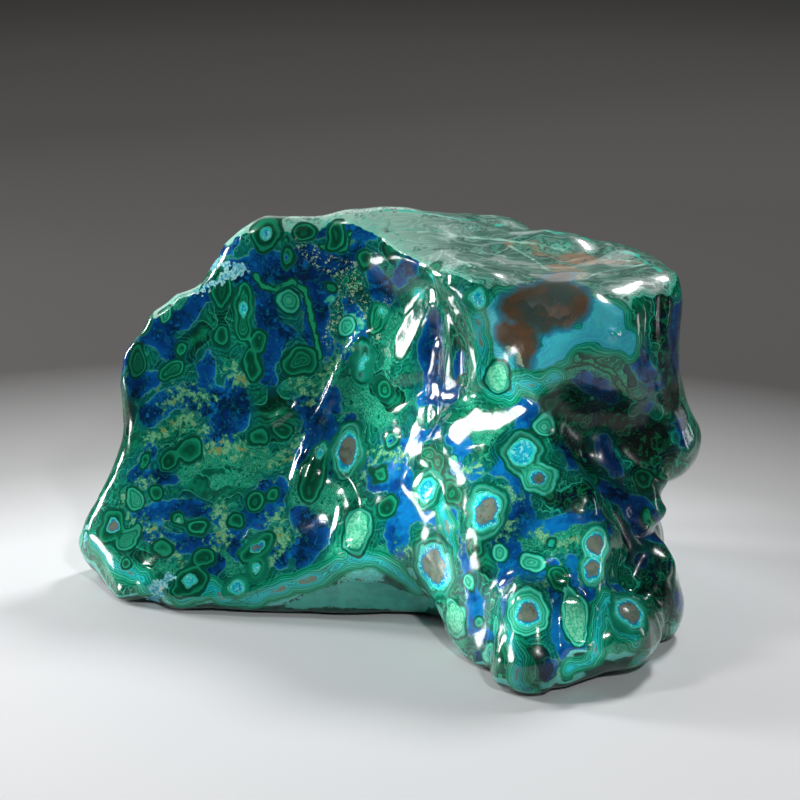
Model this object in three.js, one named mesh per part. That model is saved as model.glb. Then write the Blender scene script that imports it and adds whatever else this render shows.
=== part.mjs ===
// Polished azurite malachite freeform: one lump of stone, ground to soft facets and hollows.
//
// The lump is written as a field: a number at every point that is below zero inside the stone,
// zero on its skin and above zero outside. Flat sides, lobes and tapered fingers are blended
// into a rough shape, a few places on the skin are then pushed or pulled to where the stone is
// known to be, and a lattice is laid through the field to make the closed skin.
// Millimetres. X runs left to right across the polished face, Y runs away from it, Z is up.
import * as THREE from 'three';

// ---- driving sizes ----
const CELL = 4.8; // spacing of the lattice, so the size of the mesh faces
const LATTICE_FROM = [-112.6, -83.7, -7.2]; // first lattice corner
const LATTICE_STEPS = [46, 38, 30]; // cells along X, Y and Z
const BASE_ROUND = 2.5; // how softly the flat underside turns up into the sides
const REACH = 75; // how far round itself each known place moves the skin
const GIVE = 0.03; // how loosely the skin follows the known places
const NEAR = 11; // full correction this close to the rough skin
const FAR = 20; // and none beyond this
const BACK_FROM = 56; // the back is left as the rough shape has it, fading from here
const BACK_TO = 70;
const COLOUR = '#0d6a56';

// ---- small helpers ----
const minus = (a, b) => [a[0] - b[0], a[1] - b[1], a[2] - b[2]];
const dot = (a, b) => a[0] * b[0] + a[1] * b[1] + a[2] * b[2];
const long = (a) => Math.hypot(a[0], a[1], a[2]);
const unit = (a) => a.map((c) => c / long(a));
const clamp = (x, lo, hi) => Math.min(hi, Math.max(lo, x));
const ramp = (x, from, to) => {
  const t = clamp((x - from) / (to - from), 0, 1);
  return t * t * (3 - 2 * t);
};

// Larger and smaller of two distances with the corner between them rounded over k.
const softMax = (a, b, k) => {
  const h = Math.max(k - Math.abs(a - b), 0) / k;
  return Math.max(a, b) + (h * h * k) / 4;
};
const softMin = (a, b, k) => -softMax(-a, -b, k);

// A block ground flat on several sides: each side is a place on it and the way it faces.
const ground = (k, sides) => {
  const flats = sides.map(([at, facing]) => ({ at, out: unit(facing) }));
  return (p) => flats.reduce((d, s) => softMax(d, dot(minus(p, s.at), s.out), k), -1000);
};

// A rounded lump with three radii, turned about the upright axis by `yaw` degrees.
const lump = (centre, radii, yaw = 0) => {
  const turn = THREE.MathUtils.degToRad(yaw);
  const c = Math.cos(turn);
  const s = Math.sin(turn);
  return (p) => {
    const q = minus(p, centre);
    const r = [c * q[0] + s * q[1], c * q[1] - s * q[0], q[2]];
    const k0 = long(r.map((v, i) => v / radii[i]));
    const k1 = long(r.map((v, i) => v / radii[i] ** 2));
    return k1 === 0 ? -Math.min(...radii) : (k0 * (k0 - 1)) / k1;
  };
};

// A finger of stone from a to b, ra thick at one end and rb at the other.
const finger = (a, b, ra, rb) => (p) => {
  const ab = minus(b, a);
  const t = clamp(dot(minus(p, a), ab) / dot(ab, ab), 0, 1);
  const q = minus(p, a.map((v, i) => v + ab[i] * t));
  return long(q) - (ra + (rb - ra) * t);
};

// ---- the rough shape ----
// The left half: a tall wing with the broad polished face in front.
const wing = ground(15, [
  [[-40, 6, 0], [-0.18, -0.91, 0.37]],
  [[-10, 50, 119], [-0.06, 0.16, 0.98]],
  [[-20, 56, 118], [-0.10, 0.60, 0.79]],
  [[-66, 48, 93], [-0.75, 0.10, 0.65]],
  [[-85, 40, 60], [-0.98, 0.10, -0.08]],
  [[-20, 74, 50], [-0.12, 1, 0.10]],
  [[-62, 60, 80], [-0.60, 0.78, 0.15]],
  [[45, 30, 60], [1, 0, 0]],
]);

// The toe it runs out to at the lower left, undercut at the tip.
const toe = ground(11, [
  [[-40, 11, 0], [-0.18, -0.91, 0.37]],
  [[-90, 30, 29], [-0.88, -0.05, 0.47]],
  [[-86, 25, 3], [-0.62, -0.30, -0.72]],
  [[-70, 52, 20], [-0.40, 0.92, 0.25]],
  [[-50, 40, 50], [0.30, 0.10, 0.95]],
  [[-20, 40, 20], [1, 0, 0]],
]);

// The high block on the right with the level top, leaning out over a waist.
const block = ground(9, [
  [[40, 20, 109.8], [0.07, -0.08, 0.99]],
  [[10, 14, 100], [-0.70, -0.71, 0.05]],
  [[-14, 50, 80], [-1, 0.20, 0]],
  [[48, -8, 97], [0.05, -0.80, 0.60]],
  [[45, -13, 80], [0, -1, 0.02]],
  [[72, -8, 80], [0.60, -0.80, -0.05]],
  [[90, 15, 90], [0.99, 0.05, 0]],
  [[30, 56, 109], [0.10, 0.78, 0.62]],
  [[63, 50, 105], [0.50, 0.75, 0.40]],
  [[84, 30, 100], [0.90, 0.42, 0.10]],
  [[40, 74, 60], [0.10, 1, 0]],
  [[80, 0, 40], [0.55, -0.35, -0.75]],
]);
const hip = lump([73, 12, 51], [21, 20, 19]);

// The low rear quarter under the block.
const heel = ground(12, [
  [[30, -6, 8], [-0.80, -0.60, 0.10]],
  [[84, 20, 10], [0.97, 0.14, 0.10]],
  [[0, 72, 20], [0.10, 1, 0]],
  [[60, 60, 20], [0.60, 0.80, 0]],
  [[30, 20, 42], [0.10, -0.10, 1]],
  [[76, -14, 10], [0.90, -0.45, 0]],
]);

// The apron that slopes forward from the ledge to the foot.
const apron = ground(10, [
  [[30, -38, 38], [-0.10, -0.76, 0.64]],
  [[14, -16, 25], [-0.80, -0.58, 0.15]],
  [[62, -24, 40], [0.85, -0.40, 0.35]],
  [[40, 40, 30], [0.10, 1, 0]],
  [[20, 0, 65], [-0.24, -0.10, 1]],
]);

// The foot: one long finger, a shorter one beside it and two lobes going round to the right.
const longFinger = finger([43, -55, 9], [42, -49, 22], 11.5, 10);
const shortFinger = finger([56, -50, 10], [52, -40, 27], 10, 9);
const rightLobe = lump([67, -37, 10], [20, 21, 16], 20);
const farLobe = lump([78, -13, 13], [13, 20, 17]);

// The far side: one broad swelling and two shallow dishes.
const swelling = lump([34, 60, 48], [40, 20, 34], -8);
const dish = lump([-14, 100, 66], [40, 30, 30], 6);
const scoop = lump([66, 92, 84], [26, 30, 24], -25);

// The flat facet with the arched top, low in the middle of the face.
const facet = ground(4, [
  [[-12, 1, 0], [0.08, 0.92, 0.40]],
  [[15, 0, 1], [0.68, 0.10, 0.73]],
  [[-30, 4, 30], [-0.30, 0, 0.95]],
]);

const rough = (p) => {
  let d = wing(p);
  d = softMin(d, toe(p), 12);
  d = softMin(d, block(p), 18);
  d = softMin(d, hip(p), 8);
  d = softMin(d, heel(p), 10);
  d = softMin(d, apron(p), 12);
  d = softMin(d, longFinger(p), 7);
  d = softMin(d, shortFinger(p), 6);
  d = softMin(d, rightLobe(p), 6);
  d = softMin(d, farLobe(p), 6);
  d = softMin(d, swelling(p), 16);
  d = softMax(d, -dish(p), 16);
  d = softMax(d, -scoop(p), 14);
  return d;
};

// ---- places the skin is known to pass through ----
const known = [
  // left edge from the toe up to the shoulder, and along the rear rim of the top
  [-94, 28, 13], [-84, 42, 44], [-87, 44, 58], [-86, 46, 67], [-81, 47, 78],
  [-42, 49, 112], [-25, 50, 114], [-13, 53, 115], [-1, 55, 117], [37, 54, 109],
  // right edge from the top corner over the hip to the waist and the foot
  [88, 12, 106], [87, 12, 98], [86, 12, 85], [91, 12, 42],
  [83, 14, 28], [86, 3, 19], [89, -16, 5],
  // where the underside meets the sides
  [67, -44, -1], [52, -61, 0], [42, -66, -1], [28, -49, 0], [17, -25, 0], [14, -2, 0],
  [-28, -2, 0], [-50, -1, 0], [-72, 1, 0], [-86, 15, 3],
  // front edge of the top
  [5, 34, 111], [12, 17, 107], [24, 0, 105],
  // the left side of the apron
  [15, -6, 53], [19, -30, 17], [29, -37, 32], [32, -46, 23],
  // the wall above the ledge
  [14, 13, 80], [12, 14, 97], [7, 21, 88], [3, 28, 87], [1, 23, 70], [3, 14, 59], [14, -5, 61],
  [27, -9, 65], [42, -13, 70],
  // the brown corner and the hollow under it
  [33, -2, 92], [61, -17, 99], [74, -10, 98], [46, -16, 75], [56, -35, 49], [65, -43, 33],
  [56, -10, 73], [55, -10, 57], [66, -8, 54], [75, -2, 58], [83, -4, 76], [84, 6, 43],
  // the ribs running down to the foot
  [78, -14, 32], [85, -12, 19], [74, -22, 23],
  // fingers and lobes of the foot
  [43, -66, 15], [50, -58, 8], [57, -61, 18], [60, -58, 6], [78, -40, 13], [81, -30, 17],
  // the broad polished face
  [-75, 46, 69], [-72, 37, 52], [-81, 23, 21], [-59, 45, 82], [-56, 36, 66], [-59, 22, 31],
  [-22, 37, 88], [-28, 16, 36], [-6, 39, 100], [-5, 31, 83], [-12, 6, 36], [-12, -5, 20], [8, -6, 12],
  // the apron's own front
  [41, -31, 46], [57, -43, 34],
  // round the two ends and behind the rim
  [-88, 48, 30], [-78, 56, 70], [86, 22, 85], [89, 26, 62], [78, 26, 36],
  [84, 18, 8], [78, 42, 85], [79, 42, 12], [-42, 62, 104], [50, 62, 101], [74, 46, 98],
  [-62, 60, 80], [-64, 63, 50], [-64, 67, 20],
];

// How much one known place moves the skin at distance d from it.
const pull = (d) => {
  const x = Math.min(d / REACH, 1);
  return (1 - x) ** 4 * (4 * x + 1);
};

// Straight elimination for the strengths of all the pulls together.
const solve = (matrix, right) => {
  const n = right.length;
  const m = matrix.map((row, i) => [...row, right[i]]);
  for (let i = 0; i < n; i += 1) {
    for (let r = i + 1; r < n; r += 1) {
      const factor = m[r][i] / m[i][i];
      for (let c = i; c <= n; c += 1) m[r][c] -= factor * m[i][c];
    }
  }
  const x = new Array(n).fill(0);
  for (let i = n - 1; i >= 0; i -= 1) {
    let sum = m[i][n];
    for (let c = i + 1; c < n; c += 1) sum -= m[i][c] * x[c];
    x[i] = sum / m[i][i];
  }
  return x;
};
const strengths = solve(
  known.map((a, i) => known.map((b, j) => pull(long(minus(a, b))) + (i === j ? GIVE : 0))),
  known.map(rough),
);

// ---- the finished field ----
const stone = (p) => {
  let d = rough(p);
  const near = 1 - ramp(Math.abs(d), NEAR, FAR);
  const front = 1 - ramp(p[1], BACK_FROM, BACK_TO);
  if (near * front > 0) {
    const shift = known.reduce((s, at, i) => s + strengths[i] * pull(long(minus(p, at))), 0);
    d -= near * front * shift;
  }
  d = softMax(d, -facet(p), 2.5);
  return softMax(d, -p[2], BASE_ROUND);
};
const slope = (p) => {
  const e = 0.4;
  return [0, 1, 2].map((i) => {
    const a = [...p];
    const b = [...p];
    a[i] += e;
    b[i] -= e;
    return (stone(a) - stone(b)) / (2 * e);
  });
};

// ---- the skin ----
const [NX, NY, NZ] = LATTICE_STEPS.map((n) => n + 1);
const corner = (i, j, k) => [i, j, k].map((n, axis) => LATTICE_FROM[axis] + n * CELL);
const field = new Float64Array(NX * NY * NZ);
const slot = (i, j, k) => (i * NY + j) * NZ + k;
for (let i = 0; i < NX; i += 1) {
  for (let j = 0; j < NY; j += 1) {
    for (let k = 0; k < NZ; k += 1) field[slot(i, j, k)] = stone(corner(i, j, k));
  }
}

// One point in every lattice cell the skin passes through.
const pointOf = new Map();
const points = [];
const bits = [0, 1, 2, 3, 4, 5, 6, 7].map((b) => [b & 1, (b >> 1) & 1, (b >> 2) & 1]);
const edges = [];
bits.forEach((a, m) => bits.forEach((b, n) => {
  if (m < n && long(minus(a, b)) === 1) edges.push([a, b]);
}));
for (let i = 0; i < NX - 1; i += 1) {
  for (let j = 0; j < NY - 1; j += 1) {
    for (let k = 0; k < NZ - 1; k += 1) {
      const hits = [];
      edges.forEach(([a, b]) => {
        const fa = field[slot(i + a[0], j + a[1], k + a[2])];
        const fb = field[slot(i + b[0], j + b[1], k + b[2])];
        if ((fa < 0) === (fb < 0)) return;
        const t = fa / (fa - fb);
        hits.push([i, j, k].map((n, axis) => n + a[axis] + (b[axis] - a[axis]) * t));
      });
      if (hits.length === 0) continue;
      const mean = [0, 1, 2].map((axis) => hits.reduce((s, h) => s + h[axis], 0) / hits.length);
      pointOf.set(slot(i, j, k), points.length);
      points.push(mean.map((n, axis) => LATTICE_FROM[axis] + n * CELL));
    }
  }
}

// Four-sided faces round every lattice edge the skin crosses, wound to face outward.
const faces = [];
const steps = [[1, 0, 0], [0, 1, 0], [0, 0, 1]];
for (let i = 1; i < NX - 1; i += 1) {
  for (let j = 1; j < NY - 1; j += 1) {
    for (let k = 1; k < NZ - 1; k += 1) {
      steps.forEach((step, axis) => {
        const here = field[slot(i, j, k)] < 0;
        const there = field[slot(i + step[0], j + step[1], k + step[2])] < 0;
        if (here === there) return;
        const u = steps[(axis + 1) % 3];
        const v = steps[(axis + 2) % 3];
        const ring = [[0, 0], [1, 0], [1, 1], [0, 1]].map(([a, b]) => pointOf.get(slot(
          i - a * u[0] - b * v[0],
          j - a * u[1] - b * v[1],
          k - a * u[2] - b * v[2],
        )));
        faces.push(here ? ring : ring.reverse());
      });
    }
  }
}

// Even the points out along the skin, then set each one back on it.
const around = points.map(() => new Set());
faces.forEach((ring) => ring.forEach((a, n) => {
  around[a].add(ring[(n + 1) % 4]);
  around[a].add(ring[(n + 3) % 4]);
}));
const seat = (p) => {
  const g = slope(p);
  const gg = Math.max(dot(g, g), 0.2);
  const d = stone(p);
  return p.map((c, i) => c - (g[i] * d) / gg);
};
let skin = points.map(seat);
for (let pass = 0; pass < 2; pass += 1) {
  skin = skin.map((p, n) => {
    const ring = [...around[n]].map((m) => skin[m]);
    const mean = [0, 1, 2].map((i) => ring.reduce((s, q) => s + q[i], 0) / ring.length);
    return seat(seat(p.map((c, i) => c + 0.5 * (mean[i] - c))));
  });
}
skin = skin.map((p) => [p[0], p[1], p[2] < 0.25 ? 0 : p[2]]);

// Stand it with the middle of its box over the origin and the underside on Z = 0.
const low = [0, 1].map((i) => Math.min(...skin.map((p) => p[i])));
const high = [0, 1].map((i) => Math.max(...skin.map((p) => p[i])));
const middle = [0, 1].map((i) => (low[i] + high[i]) / 2);
const triangles = [];
faces.forEach(([a, b, c, d]) => {
  const ac = long(minus(skin[a], skin[c]));
  const bd = long(minus(skin[b], skin[d]));
  if (ac <= bd) triangles.push(a, b, c, a, c, d);
  else triangles.push(a, b, d, b, c, d);
});
const geometry = new THREE.BufferGeometry();
const flat = skin.flatMap((p) => [p[0] - middle[0], p[1] - middle[1], p[2]]);
geometry.setAttribute('position', new THREE.Float32BufferAttribute(flat, 3));
geometry.setIndex(triangles);
geometry.computeVertexNormals();

const polished = new THREE.MeshStandardMaterial({ color: COLOUR, roughness: 0.15, metalness: 0 });
polished.name = 'polished azurite malachite';
const stoneMesh = new THREE.Mesh(geometry, polished);
stoneMesh.name = 'azurite_malachite_stone';

const group = new THREE.Group();
group.name = 'azurite_malachite_freeform';
group.add(stoneMesh);
export default group;
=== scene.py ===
# %% [markdown]
# # A polished azurite malachite freeform
# This is one lump of copper stone. Green malachite grew in round layered eyes, blue azurite filled
# the room between them, and somebody ground the lump to soft facets and hollows and polished it.
# The outside shape is already settled in the measured solid that is loaded first. What is left is
# what a mason and a polisher would add: the small ridges and grooves, the minerals, and the shine.

# %% Load the measured solid
import math
import bmesh
import bpy
import numpy as np
from mathutils import Matrix, Vector, noise
from mathutils.bvhtree import BVHTree


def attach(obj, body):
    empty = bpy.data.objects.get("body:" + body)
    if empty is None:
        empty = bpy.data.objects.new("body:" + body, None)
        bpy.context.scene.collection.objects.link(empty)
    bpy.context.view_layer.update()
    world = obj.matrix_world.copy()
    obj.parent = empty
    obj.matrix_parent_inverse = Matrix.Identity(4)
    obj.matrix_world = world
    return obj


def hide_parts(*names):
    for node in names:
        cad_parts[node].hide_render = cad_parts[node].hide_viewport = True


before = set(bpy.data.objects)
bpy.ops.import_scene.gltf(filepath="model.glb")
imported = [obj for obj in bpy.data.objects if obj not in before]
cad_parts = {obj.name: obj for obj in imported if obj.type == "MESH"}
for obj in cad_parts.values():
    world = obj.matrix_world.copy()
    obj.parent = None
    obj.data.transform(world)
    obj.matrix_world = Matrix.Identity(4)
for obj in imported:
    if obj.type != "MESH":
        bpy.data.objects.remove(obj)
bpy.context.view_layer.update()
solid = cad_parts["azurite_malachite_stone"]
scene = bpy.context.scene

# %% [markdown]
# ## Where the viewer stands
# The stone is seen from about a metre away and 17 degrees above the table, through a long lens, so
# that its near and far ends are drawn at nearly the same size. The camera comes first here because
# the places of ridges and eyes are given in its view in the next steps. Colours are shown plainly,
# because the usual view transform turns strong greens grey.

# %% Camera
MM = 0.001
TILT = math.radians(17.0)
AWAY = 1.0
LOOK_AT = Vector((4.9, -9.2, 70.0)) * MM
camera_data = bpy.data.cameras.new("camera")
camera_data.lens = 150.0
camera_data.sensor_width = 36.0
camera = bpy.data.objects.new("camera", camera_data)
scene.collection.objects.link(camera)
TO_VIEWER = Vector((0.0, -math.cos(TILT), math.sin(TILT)))
camera.location = LOOK_AT + TO_VIEWER * AWAY
camera.rotation_euler = (math.pi / 2 - TILT, 0.0, 0.0)
scene.camera = camera
scene.view_settings.view_transform = "Standard"
print("camera at", tuple(round(c, 3) for c in camera.location))

# %% [markdown]
# ## A fine skin to carve
# The solid's own mesh is loose triangles about 5 mm across, too coarse for a ridge 2 mm wide. Its
# copy is welded, its triangles are paired back into squares, and each square is divided twice. A
# subdivision surface is used for that because it also rounds the facets off, which a plain
# division would keep. Squares are wanted because a chequered skin divides evenly and a triangled
# one puckers.

# %% Weld, pair and divide
WELD = 1e-6
PAIR_FOLD, PAIR_SKEW = 0.9, 1.2
DIVIDED = 2
stone_mesh = bpy.data.meshes.new("stone")
bm = bmesh.new()
bm.from_mesh(solid.data)
bmesh.ops.remove_doubles(bm, verts=bm.verts, dist=WELD)
bmesh.ops.join_triangles(
    bm, faces=bm.faces, angle_face_threshold=PAIR_FOLD, angle_shape_threshold=PAIR_SKEW)
bm.to_mesh(stone_mesh)
bm.free()
stone = bpy.data.objects.new("stone", stone_mesh)
scene.collection.objects.link(stone)
divide = stone.modifiers.new("divide", "SUBSURF")
divide.levels = divide.render_levels = DIVIDED
bpy.context.view_layer.update()
divided = stone.evaluated_get(bpy.context.evaluated_depsgraph_get())
stone_mesh = bpy.data.meshes.new_from_object(divided)
stone.modifiers.clear()
stone.data = stone_mesh
stone_mesh.polygons.foreach_set("use_smooth", [True] * len(stone_mesh.polygons))
print("squares in the fine skin:", len(stone_mesh.polygons))


# %% [markdown]
# ## Reading and writing the skin
# Carving means moving the skin's points, so they are taken out as one table in millimetres, moved
# together, and put back. A search tree of the skin is made again each time, because the next step
# looks for its places on the skin as it then is.

# %% Points of the skin
def skin_points():
    flat = np.empty(len(stone_mesh.vertices) * 3)
    stone_mesh.vertices.foreach_get("co", flat)
    return flat.reshape(-1, 3) / MM


def skin_normals():
    flat = np.empty(len(stone_mesh.vertices) * 3, np.float32)
    stone_mesh.vertex_normals.foreach_get("vector", flat)
    return flat.reshape(-1, 3).astype(float)


def skin_tree():
    corners = [v.co for v in stone_mesh.vertices]
    return BVHTree.FromPolygons(corners, [p.vertices for p in stone_mesh.polygons])


def redraw_skin(where):
    global tree
    where[:, 2] = np.maximum(where[:, 2], 0.0)
    stone_mesh.vertices.foreach_set("co", (where * MM).ravel())
    stone_mesh.update()
    tree = skin_tree()


tree = skin_tree()
where = skin_points()
normals = skin_normals()
print("points in the skin:", len(where))

# %% [markdown]
# ## Naming a place by where it shows
# Every mark on the stone is given as points across and down a front view 800 points wide. A ray
# from the camera through that point finds the place on the skin. One point is about 0.3 mm.

# %% Find a place on the skin
VIEW_WIDTH = 800.0
MIDDLE = VIEW_WIDTH / 2.0
LENS_POINTS = camera_data.lens / camera_data.sensor_width * VIEW_WIDTH
RIGHT = Vector((1.0, 0.0, 0.0))
UP = Vector((0.0, math.sin(TILT), math.cos(TILT)))


def seen_at(x, y):
    ray = -TO_VIEWER * LENS_POINTS + RIGHT * (x - MIDDLE) - UP * (y - MIDDLE)
    ray.normalize()
    place, _, _, _ = tree.ray_cast(camera.location, ray)
    if place is None:
        place, _, _, _ = tree.find_nearest(camera.location + ray * AWAY)
    return np.array(place) / MM


def points_to_mm(place):
    deep = (np.array(camera.location) / MM - place) @ np.array(TO_VIEWER)
    return deep / LENS_POINTS


middle = seen_at(MIDDLE, MIDDLE)
print("middle of the view:", middle.round(1), "where a point is", round(points_to_mm(middle), 3), "mm")


# %% [markdown]
# ## Chains
# Ridges, grooves, and the long blotches of mineral are all chains: a row of places, each with its
# own half-width, joined by straight tapered links. A chain's distance is below zero inside it.

# %% Distance from a chain
FAR = 99.0
TINY = 1e-9


def off_link(where, a, b):
    link = b - a
    along = np.clip((where - a) @ link / max(link @ link, TINY), 0.0, 1.0)[:, None]
    off = where - (a + along * link)
    return along, off, np.linalg.norm(off, axis=1)


def chain_distance(where, places, widths):
    if len(places) == 1:
        return np.linalg.norm(where - places[0], axis=1) - widths[0]
    best = np.full(len(where), FAR)
    for a, b, wide_a, wide_b in zip(places, places[1:], widths, widths[1:]):
        along, _, gap = off_link(where, a, b)
        best = np.minimum(best, gap - (wide_a + (wide_b - wide_a) * along[:, 0]))
    return best


def seen_chain(where, marks):
    places = [seen_at(x, y) for x, y, _ in marks]
    widths = [r * points_to_mm(p) for p, (_, _, r) in zip(places, marks)]
    return chain_distance(where, places, widths)


def eased(share):
    share = np.clip(share, 0.0, 1.0)
    return share * share * (3.0 - 2.0 * share)


print("easing a half gives", eased(0.5))

# %% [markdown]
# ## Ridges, grooves and dimples
# The polisher's wheel left soft ridges where it turned a corner and grooves where it followed a
# seam. Each stroke lifts or sinks the skin along its chain, fading out over its width, the way a
# sculpting brush does. A row says how far out in millimetres, how wide, and where.

# %% Strokes
STROKES = [
    (-2.2, 7.0, [(412, 280), (430, 284), (450, 290)]),
    (2.6, 6.5, [(396, 366), (406, 356)]),
    (1.6, 5.0, [(474, 374), (478, 386)]),
    (1.0, 4.5, [(393, 368), (399, 345), (409, 316), (428, 290)]),
    (1.6, 3.0, [(448, 292), (460, 304), (470, 324), (478, 346), (483, 372)]),
    (-1.4, 3.0, [(443, 312), (451, 328), (458, 346), (463, 370)]),
    (0.5, 4.0, [(437, 336), (437, 362), (436, 388)]),
    (-1.2, 3.5, [(424, 318), (420, 345), (418, 385)]),
    (3.4, 6.0, [(545, 241), (568, 245)]),
    (-1.4, 6.0, [(495, 221), (515, 225)]),
    (0.9, 2.4, [(357, 330), (340, 362), (322, 398), (306, 430), (292, 476)]),
    (-0.6, 4.0, [(370, 335), (352, 375), (335, 410), (320, 445)]),
    (0.7, 2.4, [(326, 478), (338, 488), (346, 506), (343, 524), (334, 540)]),
    (-0.6, 3.0, [(335, 470), (356, 490), (360, 512)]),
    (0.8, 4.0, [(268, 420), (284, 410)]),
    (1.0, 2.6, [(664, 300), (660, 330), (664, 362), (672, 390), (682, 416), (690, 440)]),
    (-1.0, 3.0, [(650, 310), (648, 350), (654, 385), (664, 410)]),
    (1.6, 3.0, [(600, 442), (612, 470), (628, 500), (650, 530), (676, 560)]),
    (-1.6, 3.0, [(585, 455), (597, 480), (612, 510), (628, 535)]),
    (1.0, 2.5, [(545, 398), (556, 430), (566, 462), (590, 500)]),
    (-0.8, 2.8, [(506, 592), (503, 625), (506, 660), (508, 684)]),
    (-1.2, 2.6, [(562, 602), (560, 640), (558, 688)]),
    (-1.2, 2.0, [(604, 612), (598, 645), (600, 680)]),
    (1.3, 3.4, [(557, 579)]),
    (0.8, 2.4, [(578, 600), (586, 650)]),
    (-1.8, 4.5, [(640, 566), (630, 585)]),
    (0.9, 3.0, [(414, 480), (424, 492), (430, 500)]),
    (-0.5, 6.0, [(232, 300), (215, 360), (208, 420)]),
    (0.5, 5.0, [(180, 330), (165, 380), (160, 430)]),
    (-0.5, 5.0, [(180, 470), (230, 480), (270, 470)]),
    (0.6, 3.0, [(395, 424), (425, 412), (470, 412), (530, 404)]),
    (0.7, 2.5, [(350, 552), (385, 560), (420, 588), (440, 608)]),
    (0.6, 2.0, [(180, 606), (240, 594), (300, 574), (350, 552)]),
]
lift = np.zeros(len(where))
for height, width, marks in STROKES:
    gap = chain_distance(where, [seen_at(x, y) for x, y in marks], [0.0] * len(marks))
    lift += height * eased(1.0 - gap / (width * 2.0))
print("strokes lift between", round(lift.min(), 2), "and", round(lift.max(), 2), "mm")

# %% [markdown]
# ## Soft waves
# A wheel held by hand leaves no surface quite even. Two sizes of smooth noise add that, half a
# millimetre high and 9 mm long, with a faint ripple on it. Noise is used because it has no
# direction and no seam.

# %% Waves
WAVE_HEIGHT, WAVE_LENGTH = 0.5, 9.0
RIPPLE_HEIGHT, RIPPLE_LENGTH = 0.10, 3.6
for i, (x, y, z) in enumerate(where):
    rolling = WAVE_HEIGHT * noise.noise(Vector((x, y, z)) / WAVE_LENGTH)
    lift[i] += rolling + RIPPLE_HEIGHT * noise.noise(Vector((x, y, z)) / RIPPLE_LENGTH)
where = where + normals * lift[:, None]
redraw_skin(where)
print("carved between", round(lift.min(), 2), "and", round(lift.max(), 2), "mm")

# %% [markdown]
# ## Drags
# A few lobes and edges sit some millimetres off. A drag pushes the skin sideways across the view,
# most at its middle and nothing at its reach, like a grab brush. It keeps the roundness that is
# already there, which a stroke would change.

# %% Drags
DRAGS = [
    # the middle in view points, the reach in mm, then how far across and down in view points
    ((404, 330), 24.0, (15, 0)), ((410, 420), 16.0, (10, -6)), ((634, 497), 14.0, (26, 0)),
    ((172, 314), 13.0, (-7, -11)), ((104, 592), 11.0, (10, -13)),
]
FLAT_MIDDLE = 1.4
shifts = np.zeros_like(where)
for (x, y), reach, (across, down) in DRAGS:
    centre = seen_at(x, y)
    fade = eased(FLAT_MIDDLE - FLAT_MIDDLE * np.linalg.norm(where - centre, axis=1) / reach)
    shifts += fade[:, None] * ((np.array(RIGHT) * across - np.array(UP) * down) * points_to_mm(centre))
where = where + shifts
redraw_skin(where)
print("dragged at most", round(np.linalg.norm(shifts, axis=1).max(), 2), "mm")

# %% [markdown]
# ## Pinches
# Along the left edge and where the top meets the front the stone turns a sharper corner than the
# fine skin does. A pinch draws the skin in towards a chain, which crowds its squares there and
# tightens the turn, as a crease brush does.

# %% Pinches
PINCHES = [
    # the reach in mm, then the places
    (5.0, [(203, 272), (180, 296), (160, 320), (140, 334), (128, 350), (124, 380), (122, 420),
           (112, 460), (98, 500), (88, 530)]),
    (4.0, [(384, 238), (404, 256), (424, 272), (448, 282), (470, 288)]),
]
PINCH_PULL = 0.45
PINCH_FADE = 1.3
for reach, marks in PINCHES:
    places = [seen_at(x, y) for x, y in marks]
    nearest, pull = np.full(len(where), FAR), np.zeros_like(where)
    for a, b in zip(places, places[1:]):
        _, off, gap = off_link(where, a, b)
        closer = gap < nearest
        share = PINCH_PULL * np.clip(PINCH_FADE - PINCH_FADE * gap / (2.0 * reach), 0.0, 1.0)
        pull[closer] = (-off * share[:, None])[closer]
        nearest = np.minimum(nearest, gap)
    where = where + pull
    print("pinched at most", round(np.linalg.norm(pull, axis=1).max(), 2), "mm")
redraw_skin(where)

# %% [markdown]
# ## Flats that catch the lamps
# Where the wheel was held still it left narrow flats, and each shines when it faces halfway between
# the eye and a lamp. A flat is made by tipping a strip of the skin about its middle line, by just
# the slope that turns it to that halfway direction, and letting the tip fade out on both sides.
# The lamps' places are named here because the flats are cut to face them.

# %% Lamps and flats
LAMPS = {
    "left": (-0.70, 0.27, 0.27), "low": (-0.72, 0.0, 0.08), "high": (-0.50, -0.02, 0.60),
    "above": (0.32, 0.42, 0.70), "right": (0.75, 0.08, 0.14), "front": (0.3, -1.0, 0.80),
    "behind": (-0.22, 0.52, 0.32),
}
FLATS = [
    # the lamp, half the flat's width in mm, then the places
    ("left", 2.6, [(403, 346), (409, 332), (416, 316), (424, 302), (429, 296)]),
    ("low", 1.6, [(442, 292), (450, 299), (458, 314), (464, 332), (471, 350), (475, 364),
                  (472, 378)]),
    ("left", 1.8, [(436, 346), (436, 364), (435, 384)]),
    ("high", 2.8, [(456, 430), (474, 424), (492, 420), (518, 412)]),
    ("high", 2.6, [(402, 431), (414, 422), (427, 417)]),
    ("left", 1.5, [(352, 336), (338, 364), (322, 398), (307, 428), (291, 477)]),
    ("left", 1.2, [(272, 416), (286, 406)]),
    ("high", 1.3, [(329, 481), (341, 490), (346, 507), (342, 524)]),
    ("left", 1.8, [(418, 482), (428, 492)]),
    ("above", 1.4, [(600, 298), (608, 304), (613, 314), (613, 328)]),
    ("right", 1.2, [(658, 300), (657, 330), (659, 352)]),
    ("right", 1.5, [(660, 362), (666, 382), (672, 400)]),
    ("right", 1.6, [(676, 412), (682, 428), (688, 446)]),
    ("above", 2.0, [(574, 604), (580, 640)]),
    ("above", 1.2, [(636, 516), (644, 526)]),
    ("above", 1.2, [(556, 580), (564, 582)]),
]
print("flats to cut:", len(FLATS))

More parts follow.
